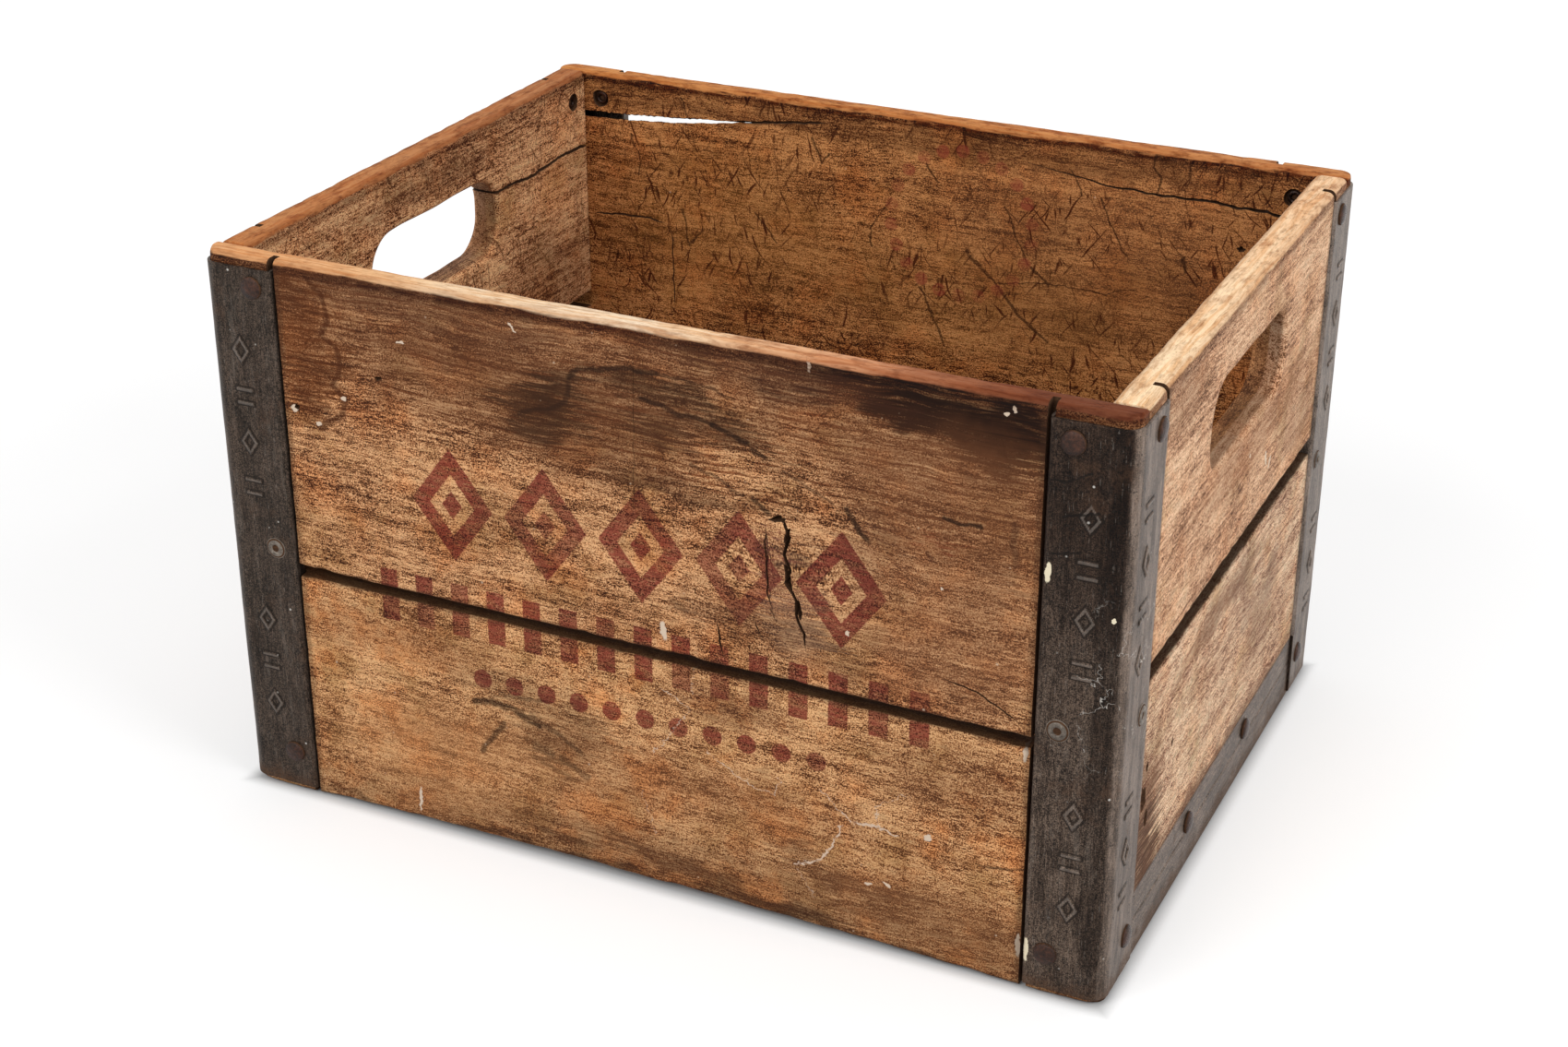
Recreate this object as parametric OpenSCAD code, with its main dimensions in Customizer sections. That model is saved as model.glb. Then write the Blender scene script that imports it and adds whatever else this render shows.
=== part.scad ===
// A dairy crate for a dozen quart bottles: two hardwood boards to each wall, a slatted bottom,
// a folded steel angle on each corner and a steel strip along the foot of each end.
// The origin is the middle of the crate's footprint on the floor. X runs along the length,
// Y from the front to the back, and Z up.

/* [Crate] */
// Length of the wooden box, outside
box_l = 442; // [400:1:480]
// Width of the wooden box, outside
box_w = 334.6; // [300:0.2:360]
// Height of the wooden box
box_h = 279; // [262:1:300]

/* [Boards] */
// Thickness of the front and back boards
side_t = 13; // [11:0.5:16]
// Thickness of the end boards
end_t = 16.5; // [14:0.5:20]
// Height of the lower front and back boards
side_low_h = 121.5; // [112:0.5:126]
// Gap between the upper and lower front and back boards
side_gap = 4.5; // [1:0.5:6]
// Height of the top edge of the lower end boards above the floor
end_low_top = 141.5; // [138:0.5:150]
// Gap between the upper and lower end boards
end_gap = 8; // [1:0.5:12]
// Round-over of the rim
rim_r = 3.5; // [1:0.5:5]
// Round-over of the long edges at the gaps between boards
edge_r = 1.2; // [0.4:0.1:2]

/* [Handholds] */
// Length of each handhold
hand_l = 118; // [90:1:140]
// Height of each handhold
hand_h = 42; // [38:1:48]
// Radius of the handhold's corners
hand_r = 18; // [10:1:19]
// Wood left between the rim and the handhold
hand_rail = 31; // [26:1:36]
// Worn slope around the handhold, on both faces
hand_slope = 2.5; // [0.5:0.5:4]

/* [Bottom slats] */
// Thickness of a slat
slat_t = 9.5; // [7:0.5:12]
// Gap between two slats
slat_gap = 9; // [4:0.5:14]

/* [Corner angles] */
// Thickness of the steel of the corner angles
steel_t = 1.2; // [0.8:0.1:1.6]
// Width of each leg from the corner of the wood
leg_w = 36.4; // [34:0.2:42]
// Outside radius of the bend at the corner
bend_r = 8; // [5:0.5:10]
// Outside radius of the bend at the turned-in lips
lip_r = 2; // [1.8:0.1:2.6]
// Depth to which the lips reach into the wood
lip_d = 5.5; // [4:0.5:6]
// Width of the saw kerf that takes a lip
kerf_w = 4.2; // [3:0.2:5]
// Depth of the saw kerf
kerf_d = 6.5; // [6.5:0.5:8]
// Wood that shows above the angle
angle_drop = 5.5; // [3:0.5:9]
// Wood that shows below the angle
angle_lift = 1.5; // [0.5:0.5:4]

/* [End strips] */
// Thickness of the steel of the end strips
strip_t = 1.2; // [0.8:0.1:1.6]
// Height of the strip on the end face
strip_h = 36; // [34:0.5:44]
// Width of the strip under the slats
strip_foot = 25; // [20:0.5:30]
// Distance between the two rivets of a strip
strip_rivet_span = 94; // [60:1:120]
// Height of the rivets of a strip
strip_rivet_z = 25.5; // [23:0.5:27]

/* [Rivets] */
// Diameter of a rivet's head
head_d = 11; // [9:0.5:12]
// Height of a rivet's head
head_h = 2.2; // [1.4:0.2:2.8]
// Diameter of a rivet's shank
shank_d = 4.6; // [3.6:0.2:5]
// Diameter of the recess round a rivet's inner end
recess_d = 9; // [8:0.5:10]
// Depth of the recess round a rivet's inner end
recess_deep = 2.5; // [2:0.5:3.5]
// Distance of the rivets from the corner of the wood
rivet_in = 26; // [24:0.5:27]
// Distance of the top rivets below the rim
rivet_top = 14.5; // [13:0.5:18]
// Height of the lowest rivets
rivet_low = 22; // [21:0.5:24]

/* [Slat nails] */
// Diameter of a nail's head
nail_head_d = 6; // [5:0.5:7]
// Diameter of a nail
nail_d = 2.5; // [2:0.1:3]
// Distance of a nail from the middle line of its slat
nail_spread = 14; // [8:1:18]

/* [Splits in the wood] */
// Width of the split at the left end of the back board
back_split_w = 3.6; // [1:0.2:5]
// Angle at which that split falls towards the outside
back_split_tilt = 18; // [0:1:25]
// Width of the split at the right end of the back board
back_check_w = 1.6; // [0.6:0.2:3]
// Width of the split from the left handhold to the back corner
end_split_w = 2; // [0.6:0.2:3]

/* [Hidden] */
$fn = 48;
slat_n = 5;             // each slat has a node of its own
steel = "#6d6b69";
rust = "#5b3b2c";

// clearances
shank_play = 0.05;      // between a shank and its hole
corner_play = 0.5;      // extra rounding of the wood inside the bend of an angle
kerf_play = 0.2;        // between the lip's bend and the near wall of its kerf
strip_play = 0.3;       // round the strip in its rebate, and at the slats' and strip's ends
nail_play = 0.7;        // between a nail's point and the rivets that cross above it
through = 1;            // how far a cut runs past the face that it opens

// the space inside the walls
inner_l = box_l - 2 * end_t;
inner_w = box_w - 2 * side_t;

// heights
slat_top = strip_t + slat_t;
side_up_z = side_low_h + side_gap;
end_up_z = end_low_top + end_gap;
angle_top = box_h - angle_drop;
hand_z = box_h - hand_rail - hand_h / 2;

// the centres of the handhold's corners, from its middle
hand_corner = min(hand_r, hand_h / 2 - 0.5);
hand_x = hand_h / 2 - hand_corner;
hand_y = hand_l / 2 - hand_corner;

// slats
slat_w = (inner_w - 2 * strip_play - (slat_n - 1) * slat_gap) / slat_n;
slat_l = box_l - 2 * strip_t - 2 * strip_play;
function slat_y(i) = -inner_w / 2 + strip_play + slat_w / 2 + i * (slat_w + slat_gap);

// steel
kerf_near = leg_w - lip_r - kerf_play;
wood_corner_r = bend_r - steel_t + corner_play;
// the middle rivets hold an upper side board and a lower end board, so they sit where those two overlap
rivet_mid = (side_up_z + end_low_top) / 2;
rivet_heights = [rivet_low, rivet_mid, box_h - rivet_top];

// rivet ends and nails
foot_r = 0.5;           // round-over of the lower end boards where they stand on the slats
hollow_d = 0.62 * shank_d;
roll_d = 0.82 * recess_d;
roll_h = 1.5;
nail_head_h = (nail_head_d - nail_d) / 2;
nail_in = end_t / 2;
nail_point = 2 * nail_d;
nail_l = min(rivet_low, strip_rivet_z) - shank_d / 2 - shank_play - nail_play;

// splits: points along a board as [distance from its end, drop below the rim, share of the full width]
back_split = [[-1, 24, 1], [16, 24, 1], [50, 22.5, 0.9], [80, 20, 0.7],
              [112, 16.5, 0.5], [140, 13, 0.3], [172, 10.5, 0.05]];
back_check = [[-1, 25.5, 1], [29, 24.5, 1], [68, 22.5, 0.9], [95, 23, 0.75],
              [121, 22, 0.6], [145, 18.5, 0.4], [168, 15.5, 0.05]];
// the split at the left end runs on into the handhold, so its points follow the handhold
end_reach = (inner_w - hand_l) / 2;
end_split = [for (p = [[-0.01, 10, 1], [0.3, 11.5, 0.8], [0.62, 9.5, 0.9], [0.9, 11.5, 0.7], [1.15, 11, 0.9]])
    [p[0] * end_reach, hand_rail + p[1], p[2]]];

// Mirrors what is drawn for the front left corner to any corner: sx and sy are -1 or 1
module at_corner(sx, sy) {
    mirror([sx > 0 ? 1 : 0, 0, 0]) mirror([0, sy > 0 ? 1 : 0, 0]) children();
}

// A board with rounded long edges, lying along X with its outer face at y = 0, and y inwards
module board_x(length, thick, z0, z1, low_r, top_r) {
    translate([-length / 2, 0, 0]) rotate([90, 0, 90])
        linear_extrude(length) difference() {
            translate([0, z0]) square([thick, z1 - z0]);
            rounding(0, z1, top_r, 1, -1);
            rounding(thick, z1, top_r, -1, -1);
            rounding(0, z0, low_r, 1, 1);
            rounding(thick, z0, low_r, -1, 1);
        }
}

// The waste outside a rounded corner at (x, z); sx and sz point into the wood
module rounding(x, z, r, sx, sz) {
    translate([x, z]) difference() {
        translate([sx > 0 ? -through : -r, sz > 0 ? -through : -r]) square(r + through);
        translate([sx * r, sz * r]) circle(r);
    }
}

// Wood of the front or back wall, in place on the front; y runs from the outer face inwards
module side_board(z0, z1, low_r, top_r) {
    translate([0, -box_w / 2, 0]) difference() {
        board_x(box_l, side_t, z0, z1, low_r, top_r);
        for (s = [-1, 1]) {
            translate([s * (box_l / 2 - kerf_near - kerf_w / 2), (kerf_d - through) / 2, (z0 + z1) / 2])
                cube([kerf_w, kerf_d + through, z1 - z0 + 2 * through], center = true);
            mirror([s > 0 ? 1 : 0, 0, 0]) translate([-box_l / 2, 0, z0 - through])
                upright_round(z1 - z0 + 2 * through);
            for (z = rivet_heights) if (z > z0 && z < z1)
                translate([s * (box_l / 2 - rivet_in), 0, z]) rotate([-90, 0, 0]) rivet_hole(side_t);
        }
    }
}

// The waste outside the wood's rounded upright corner
module upright_round(h) {
    difference() {
        translate([-through, -through, 0]) cube([wood_corner_r + through, wood_corner_r + through, h]);
        translate([wood_corner_r, wood_corner_r, -through]) cylinder(r = wood_corner_r, h = h + 2 * through);
    }
}

// A rivet's hole through a board of this thickness, entering along +Z, with the inner end's recess
module rivet_hole(thick) {
    translate([0, 0, -through]) cylinder(d = shank_d + 2 * shank_play, h = thick + 2 * through);
    translate([0, 0, thick - recess_deep]) cylinder(d = recess_d, h = recess_deep + through);
}

// Wood of an end wall, in place at the left end
module end_board(z0, z1, low_r, top_r) {
    translate([-box_l / 2, 0, 0]) difference() {
        rotate([0, 0, -90]) board_x(inner_w, end_t, z0, z1, low_r, top_r);
        for (s = [-1, 1]) {
            translate([(kerf_d - through) / 2, s * (box_w / 2 - kerf_near - kerf_w / 2), (z0 + z1) / 2])
                cube([kerf_d + through, kerf_w, z1 - z0 + 2 * through], center = true);
            for (z = rivet_heights) if (z > z0 && z < z1)
                translate([0, s * (box_w / 2 - rivet_in), z]) rotate([0, 90, 0]) rivet_hole(end_t);
        }
    }
}

// A split along the grain. It is drawn with the board's inner face at y = 0, its outer face at
// y = thick and its end at x = 0; tilt makes it fall towards the outer face.
module split(points, w, thick, tilt = 0) {
    drop = points[0][1];
    over = [for (p = points) [p[0], drop - p[1] + w * p[2] / 2]];
    under = [for (i = [len(points) - 1:-1:0]) [points[i][0], drop - points[i][1] - w * points[i][2] / 2]];
    translate([0, 0, box_h - drop]) rotate([90 - tilt, 0, 0]) translate([0, 0, -thick - 5])
        linear_extrude(thick + 10) polygon(concat(over, under));
}

// The handhold's opening through an end board whose outer face is at x = 0, sloped at both faces
module handhold() {
    translate([0, 0, hand_z]) rotate([0, 90, 0]) {
        translate([0, 0, -through]) linear_extrude(end_t + 2 * through) hand_outline();
        hand_edge();
        translate([0, 0, end_t]) mirror([0, 0, 1]) hand_edge();
    }
}

// The handhold seen along the board's thickness: X is its height and Y its length
module hand_outline() {
    for (sx = [-1, 1], sy = [-1, 1]) translate([sx * hand_x, sy * hand_y]) circle(hand_corner);
    square([2 * hand_x, hand_l], center = true);
    square([hand_h, 2 * hand_y], center = true);
}

// The worn slope at one face: it widens the outline by hand_slope at the face
module hand_edge() {
    g = hand_slope + through;
    translate([0, 0, -through]) {
        for (sx = [-1, 1], sy = [-1, 1]) translate([sx * hand_x, sy * hand_y])
            cylinder(r1 = hand_corner + g, r2 = hand_corner, h = g);
        rotate([90, 0, 0]) linear_extrude(2 * hand_y, center = true) taper(hand_h / 2, g);
        rotate([90, 0, 90]) linear_extrude(2 * hand_x, center = true) taper(hand_l / 2, g);
    }
}

// A trapezoid g high that is half_w + g wide each way at its foot and half_w at its top
module taper(half_w, g) {
    polygon([[-half_w - g, 0], [half_w + g, 0], [half_w, g], [-half_w, g]]);
}

module front_upper_board() {
    color("#8a6347") side_board(side_up_z, box_h, edge_r, rim_r);
}

module front_lower_board() {
    color("#9a7150") side_board(0, side_low_h, edge_r, edge_r);
}

module back_upper_board() {
    color("#7d5c42") difference() {
        mirror([0, 1, 0]) side_board(side_up_z, box_h, edge_r, rim_r);
        translate([-box_l / 2, box_w / 2 - side_t, 0])
            split(back_split, back_split_w, side_t, back_split_tilt);
        translate([box_l / 2, box_w / 2 - side_t, 0]) mirror([1, 0, 0])
            split(back_check, back_check_w, side_t);
    }
}

module back_lower_board() {
    color("#8a6649") mirror([0, 1, 0]) side_board(0, side_low_h, edge_r, edge_r);
}

// The upper board of the left end
module upper_end() {
    difference() {
        end_board(end_up_z, box_h, edge_r, rim_r);
        translate([-box_l / 2, 0, 0]) handhold();
    }
}

// The lower board of the left end, with the strip's rebate and the nails' holes
module lower_end() {
    difference() {
        end_board(slat_top, end_low_top, foot_r, edge_r);
        translate([-box_l / 2 - through, -inner_w / 2 - through, 0])
            cube([strip_t + through, inner_w + 2 * through, strip_h + strip_play]);
        at_strip_rivets() rivet_hole(end_t);
        at_nails() nail(shank_play);
    }
}

module left_upper_board() {
    color("#86603f") difference() {
        upper_end();
        translate([-box_l / 2 + end_t, inner_w / 2, 0]) mirror([1, 0, 0]) rotate([0, 0, -90])
            split(end_split, end_split_w, end_t);
    }
}

module left_lower_board() {
    color("#86603f") lower_end();
}

module right_upper_board() {
    color("#a47c58") mirror([1, 0, 0]) upper_end();
}

module right_lower_board() {
    color("#a47c58") mirror([1, 0, 0]) lower_end();
}

// One bottom slat, counted from the front
module bottom_slat(i) {
    color("#8c6a4c") difference() {
        translate([-slat_l / 2, slat_y(i) - slat_w / 2, strip_t]) cube([slat_l, slat_w, slat_t]);
        for (sx = [0, 1]) mirror([sx, 0, 0]) at_nails() nail(shank_play);
    }
}

// The corner angle at the front left, as a bent sheet: two legs, the bend and two turned-in lips
// The lip on the end leg stops above the end strip, where the leg is flat to its edge.
module corner_angle() {
    lip_foot = strip_h + 2 * strip_play;
    color(steel) translate([-box_l / 2, -box_w / 2, 0]) difference() {
        union() {
            translate([0, 0, angle_lift]) linear_extrude(angle_top - angle_lift) {
                angle_section();
                lip_section();
            }
            translate([0, 0, lip_foot])
                linear_extrude(angle_top - lip_foot) mirror([1, -1]) lip_section();
            translate([-steel_t, leg_w - lip_r, angle_lift]) cube([steel_t, lip_r, lip_foot - angle_lift]);
        }
        for (z = rivet_heights) {
            translate([rivet_in, 0, z]) rotate([90, 0, 0])
                translate([0, 0, -steel_t]) cylinder(d = shank_d + 2 * shank_play, h = 3 * steel_t);
            translate([0, rivet_in, z]) rotate([0, -90, 0])
                translate([0, 0, -steel_t]) cylinder(d = shank_d + 2 * shank_play, h = 3 * steel_t);
        }
    }
}

// The two legs and the corner bend, from above; the wood's corner is at the origin
module angle_section() {
    inside_r = bend_r - steel_t;
    difference() {
        translate([inside_r, inside_r]) circle(bend_r);
        translate([inside_r, inside_r]) circle(inside_r);
        translate([inside_r, -bend_r]) square(3 * bend_r);
        translate([-bend_r, inside_r]) square(3 * bend_r);
    }
    translate([inside_r, -steel_t]) square([leg_w - lip_r - inside_r, steel_t]);
    translate([-steel_t, inside_r]) square([steel_t, leg_w - lip_r - inside_r]);
}

// The lip at the far edge of the leg that lies along X
module lip_section() {
    inside_r = lip_r - steel_t;
    translate([leg_w - lip_r, inside_r]) difference() {
        circle(lip_r);
        circle(inside_r);
        translate([-2 * lip_r, -2 * lip_r]) square([2 * lip_r, 4 * lip_r]);
        translate([-2 * lip_r, 0]) square(4 * lip_r);
    }
    translate([leg_w - steel_t, inside_r]) square([steel_t, lip_d - inside_r]);
}

// The strip along the foot of the left end: an upright flange in the board's rebate, and a foot
// under the slats
module end_strip() {
    width = inner_w - 2 * strip_play;
    color(steel) translate([-box_l / 2, -width / 2, 0]) difference() {
        union() {
            cube([strip_t, width, strip_h]);
            cube([strip_foot, width, strip_t]);
        }
        translate([box_l / 2, width / 2, 0]) {
            at_strip_rivets() strip_hole();
            for (s = [-1, 1]) translate([-box_l / 2, s * (box_w / 2 - rivet_in), rivet_low])
                rotate([0, 90, 0]) strip_hole();
            at_nails() nail(shank_play);
        }
    }
}

module strip_hole() {
    translate([0, 0, -strip_t]) cylinder(d = shank_d + 2 * shank_play, h = 3 * strip_t);
}

// Places what enters the left end at the strip's own rivets
module at_strip_rivets() {
    for (s = [-1, 1])
        translate([-box_l / 2, s * strip_rivet_span / 2, strip_rivet_z]) rotate([0, 90, 0]) children();
}

// Places what enters from below at the nails of the left end
module at_nails() {
    for (i = [0:slat_n - 1], s = [-1, 1])
        translate([-box_l / 2 + nail_in, slat_y(i) + s * nail_spread, 0]) children();
}

// A countersunk nail standing on its head at z = 0, grown by g where it is a hole
module nail(g) {
    if (g > 0) translate([0, 0, -through]) cylinder(d = nail_head_d + 2 * g, h = through, $fn = 24);
    cylinder(d1 = nail_head_d + 2 * g, d2 = nail_d + 2 * g, h = nail_head_h + g, $fn = 24);
    cylinder(d = nail_d + 2 * g, h = nail_l - nail_point + g, $fn = 24);
    translate([0, 0, nail_l - nail_point])
        cylinder(d1 = nail_d + 2 * g, d2 = 0.6 + 2 * g, h = nail_point + g, $fn = 24);
}

// A rivet driven along +Z from z = 0, the outer face of steel of thickness t on a board of this
// thickness. The middle rivets of a corner have a dished head.
module rivet(t, thick, dished = false) {
    grip = t + thick - recess_deep;
    difference() {
        union() {
            if (dished) {
                translate([0, 0, -head_h / 2]) cylinder(d = head_d * 0.9, h = head_h / 2);
            } else {
                dome(head_d, head_h);
            }
            cylinder(d = shank_d, h = grip + roll_h);
            translate([0, 0, grip]) cylinder(d1 = roll_d, d2 = roll_d * 0.86, h = roll_h);
        }
        translate([0, 0, grip - 1]) cylinder(d = hollow_d, h = roll_h + 2);
        if (dished) translate([0, 0, -head_h]) sphere(d = head_d * 0.45);
    }
}

// A low dome below z = 0, cut from a sphere
module dome(d, h) {
    r = (d * d / 4 + h * h) / (2 * h);
    intersection() {
        translate([0, 0, r - h]) sphere(r, $fn = 96);
        translate([0, 0, -h - 1]) cylinder(d = d + 1, h = h + 1);
    }
}

// The six rivets of the front left corner
module corner_rivets() {
    color(rust) translate([-box_l / 2, -box_w / 2, 0]) for (z = rivet_heights) {
        translate([rivet_in, -steel_t, z]) rotate([-90, 0, 0]) rivet(steel_t, side_t, z == rivet_mid);
        translate([-steel_t, rivet_in, z]) rotate([0, 90, 0]) rivet(steel_t, end_t, z == rivet_mid);
    }
}

// The strip's own two rivets at the left end. Their heads lie on the strip, which is flush with
// the board.
module strip_rivets() {
    color(rust) at_strip_rivets() rivet(0, end_t);
}

module slat_nails() {
    color(rust) at_nails() nail(0);
}

front_upper_board();
front_lower_board();
back_upper_board();
back_lower_board();
left_upper_board();
left_lower_board();
right_upper_board();
right_lower_board();
bottom_slat(0);  // bottom_slat_1
bottom_slat(1);  // bottom_slat_2
bottom_slat(2);  // bottom_slat_3
bottom_slat(3);  // bottom_slat_4
bottom_slat(4);  // bottom_slat_5
at_corner(-1, -1) corner_angle();  // corner_angle_front_left
at_corner(1, -1) corner_angle();  // corner_angle_front_right
at_corner(-1, 1) corner_angle();  // corner_angle_back_left
at_corner(1, 1) corner_angle();  // corner_angle_back_right
end_strip();  // end_strip_left
mirror([1, 0, 0]) end_strip();  // end_strip_right
at_corner(-1, -1) corner_rivets();  // corner_rivets_front_left
at_corner(1, -1) corner_rivets();  // corner_rivets_front_right
at_corner(-1, 1) corner_rivets();  // corner_rivets_back_left
at_corner(1, 1) corner_rivets();  // corner_rivets_back_right
strip_rivets();  // strip_rivets_left
mirror([1, 0, 0]) strip_rivets();  // strip_rivets_right
slat_nails();  // slat_nails_left
mirror([1, 0, 0]) slat_nails();  // slat_nails_right
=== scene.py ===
"""A worn wooden milk crate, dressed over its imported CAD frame.

Lengths in the classes are millimetres in the crate's own frame: x along the front, y towards the
back, z up from the floor. Meshes are written in metres. A board is worked out in three lengths of
its own: s along its grain, t into it from its outer face, w across its width.
"""

import logging
from dataclasses import dataclass, field
from enum import Enum
from typing import Callable, Sequence, Union

import bmesh
import bpy
import numpy as np
from mathutils import Matrix, Vector


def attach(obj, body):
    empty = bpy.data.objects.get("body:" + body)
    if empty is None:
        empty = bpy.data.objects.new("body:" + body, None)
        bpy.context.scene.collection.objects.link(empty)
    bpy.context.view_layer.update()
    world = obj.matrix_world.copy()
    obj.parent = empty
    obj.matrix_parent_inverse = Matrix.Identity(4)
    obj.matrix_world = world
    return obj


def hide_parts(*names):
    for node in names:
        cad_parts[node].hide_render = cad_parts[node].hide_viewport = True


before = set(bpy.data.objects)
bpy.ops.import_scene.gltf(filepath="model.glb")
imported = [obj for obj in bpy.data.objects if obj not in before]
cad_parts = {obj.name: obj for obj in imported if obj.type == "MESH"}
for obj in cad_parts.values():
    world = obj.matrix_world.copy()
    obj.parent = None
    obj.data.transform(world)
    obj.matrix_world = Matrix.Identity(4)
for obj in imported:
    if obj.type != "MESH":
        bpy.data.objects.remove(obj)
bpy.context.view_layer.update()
LOG = logging.getLogger("milk_crate")

MM = 0.001
HALF_L, HALF_W, HEIGHT = 221.0, 167.3, 279.0  # the wood's outer faces and its rim
SIDE_T, END_T = 13.0, 16.5  # how thick the side boards and the end boards are
SIDE_SEAM = (121.5, 126.0)  # the gap between the two boards of a side
END_SEAM = (141.5, 149.5)  # the gap between the two boards of an end
SLAT_LOW, SLAT_T, SLAT_W = 1.2, 9.5, 54.4
SLAT_Y = (-126.8, -63.4, 0.0, 63.4, 126.8)
STEEL_T, LEG_W, BEND_R, LIP_R, LIP_D = 1.2, 36.4, 8.0, 2.0, 5.5
KERF_NEAR, KERF_FAR, KERF_D = 34.4, 37.9, 6.5
RIVET_IN, RIVET_Z = 26.0, (22.0, 133.75, 264.5)
STRIP_H, STRIP_FOOT, STRIP_Y, CREASE_Z = 36.0, 25.0, 154.0, 20.5
HAND_L, HAND_H, HAND_R, HAND_Z = 118.0, 42.0, 18.0, 227.0

Feed = Union[float, Sequence[float], bpy.types.NodeSocket]
Rgb = tuple[int, int, int]


# ---------------------------------------------------------------- numbers

def linear(rgb: Rgb) -> tuple[float, float, float, float]:
    """A colour of 0 to 255, as it looks, as the linear colour that a shader takes."""
    c = np.asarray(rgb, float) / 255.0
    lin = np.where(c <= 0.04045, c / 12.92, ((c + 0.055) / 1.055) ** 2.4)
    return (*[float(v) for v in lin], 1.0)


def wander(x: np.ndarray, seed: int, waves: Sequence[float] = (60, 24, 9), gains: Sequence[float] = (1, 0.5, 0.3)) -> np.ndarray:
    """A smooth aimless line: for each wave length three sines of nearby lengths and seeded phases are added.

    Args:
        x: Places along the line, in mm.
        seed: Which line.
        waves: Wave lengths in mm.
        gains: The share of each.
    Returns:
        Heights within about -1 to 1.
    """
    rng = np.random.default_rng(seed)
    out = np.zeros(np.shape(x))
    for wave, gain in zip(waves, gains):
        for _ in range(3):
            out = out + gain * np.sin(2 * np.pi * (x / (wave * rng.uniform(0.7, 1.4)) + rng.random())) / 3
    return 1.6 * out / sum(gains)


def swells(u: np.ndarray, v: np.ndarray, seed: int, waves: Sequence[float] = (90, 35, 14), gains: Sequence[float] = (1, 0.5, 0.3)) -> np.ndarray:
    """A smooth uneven surface: plane sine waves of each length in five seeded directions are added.

    Args:
        u: First coordinate of each place, in mm.
        v: Second coordinate of each place, in mm.
        seed: Which surface.
        waves: Wave lengths in mm.
        gains: The share of each.
    Returns:
        Heights within about -1 to 1.
    """
    rng = np.random.default_rng(seed)
    out = np.zeros(np.broadcast(u, v).shape)
    for wave, gain in zip(waves, gains):
        for _ in range(5):
            a, p = rng.uniform(0, np.pi), rng.random()
            out = out + gain * np.sin(2 * np.pi * ((u * np.cos(a) + v * np.sin(a)) / wave + p)) / 5
    return 1.8 * out / sum(gains)


def bites(s: np.ndarray, seed: int, count: int, deepest: float, longest: float) -> np.ndarray:
    """Small bites out of an edge: each is a bell of its own seeded place, depth and length, and the deepest counts.

    Args:
        s: Places along the edge, in mm.
        seed: Which edge.
        count: How many bites.
        deepest: The most that one goes in, in mm.
        longest: The longest bell, in mm.
    Returns:
        How far the edge is bitten at each place, in mm.
    """
    rng = np.random.default_rng(seed)
    mid = rng.uniform(s.min(), s.max(), (count, 1))
    deep = deepest * rng.uniform(0.2, 1.0, (count, 1)) ** 2
    reach = rng.uniform(1.5, longest, (count, 1))
    return (deep * np.exp(-(((s[None] - mid) / reach) ** 2))).max(axis=0)


def quarter(d: np.ndarray, r: float) -> np.ndarray:
    """How far a quarter round of radius r stands back at distance d from the edge it rounds."""
    near = np.clip(d, 0, r)
    return r - np.sqrt(np.maximum(r * r - (r - near) ** 2, 0))


# ---------------------------------------------------------------- meshes

Skin = tuple[np.ndarray, list]


def loft(rings: np.ndarray, closed: bool = False) -> Skin:
    """Skins closed rings one after another with quads, and shuts both ends with one face each.

    Args:
        rings: Points as (stations, points of a ring, 3), in mm.
        closed: True joins the last ring to the first, with no ends.
    Returns:
        The points in one list, and the faces.
    """
    n, p = rings.shape[:2]
    i = np.arange(n if closed else n - 1)[:, None]
    j = np.arange(p)[None]
    here, there = i * p, ((i + 1) % n) * p
    quads = np.stack([here + j, here + (j + 1) % p, there + (j + 1) % p, there + j], -1).reshape(-1, 4)
    faces = quads.tolist()
    if not closed:
        faces += [np.arange(p)[::-1].tolist(), (np.arange(p) + (n - 1) * p).tolist()]
    return rings.reshape(-1, 3), faces


def join(skins: Sequence[Skin]) -> Skin:
    """Puts several skins in one list of points and one of faces."""
    points, faces, first = [], [], 0
    for verts, polys in skins:
        points.append(verts)
        faces += [[first + k for k in f] for f in polys]
        first += len(verts)
    return np.concatenate(points), faces


def mesh_object(name: str, skin: Skin, material: bpy.types.Material | None, merge: float = 0.002, pressed: np.ndarray | None = None) -> bpy.types.Object:
    """Makes an object of a skin, merges its doubles and turns its faces outwards.

    Args:
        name: The object's name.
        skin: Points in mm, and faces.
        material: Its finish.
        merge: Points nearer than this become one, in mm.
        pressed: For each point, above 0 on a pressed mark and below 0 in the ring round it that takes dirt and painted
            shade; None for no marks.
    Returns:
        The object, at the origin, its place in its mesh.
    """
    verts, faces = skin
    mesh = bpy.data.meshes.new(name)
    mesh.from_pydata((verts * MM).tolist(), [], faces)
    if pressed is not None:
        mesh.attributes.new("pressed", "FLOAT", "POINT").data.foreach_set("value", pressed.ravel().astype(np.float32))
    bm = bmesh.new()
    bm.from_mesh(mesh)
    bmesh.ops.remove_doubles(bm, verts=bm.verts, dist=merge * MM)
    bmesh.ops.recalc_face_normals(bm, faces=bm.faces)
    bm.to_mesh(mesh)
    bm.free()
    if material:
        mesh.materials.append(material)
    piece = bpy.data.objects.new(name, mesh)
    bpy.context.scene.collection.objects.link(piece)
    return piece


def soften(piece: bpy.types.Object, angle: float = 38.0) -> None:
    """Shades a piece smooth, and leaves edges sharper than the angle, in degrees, as edges."""
    piece.data.polygons.foreach_set("use_smooth", np.ones(len(piece.data.polygons), bool))
    piece.data.set_sharp_from_angle(angle=np.radians(angle))
    piece.data.update()


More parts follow.
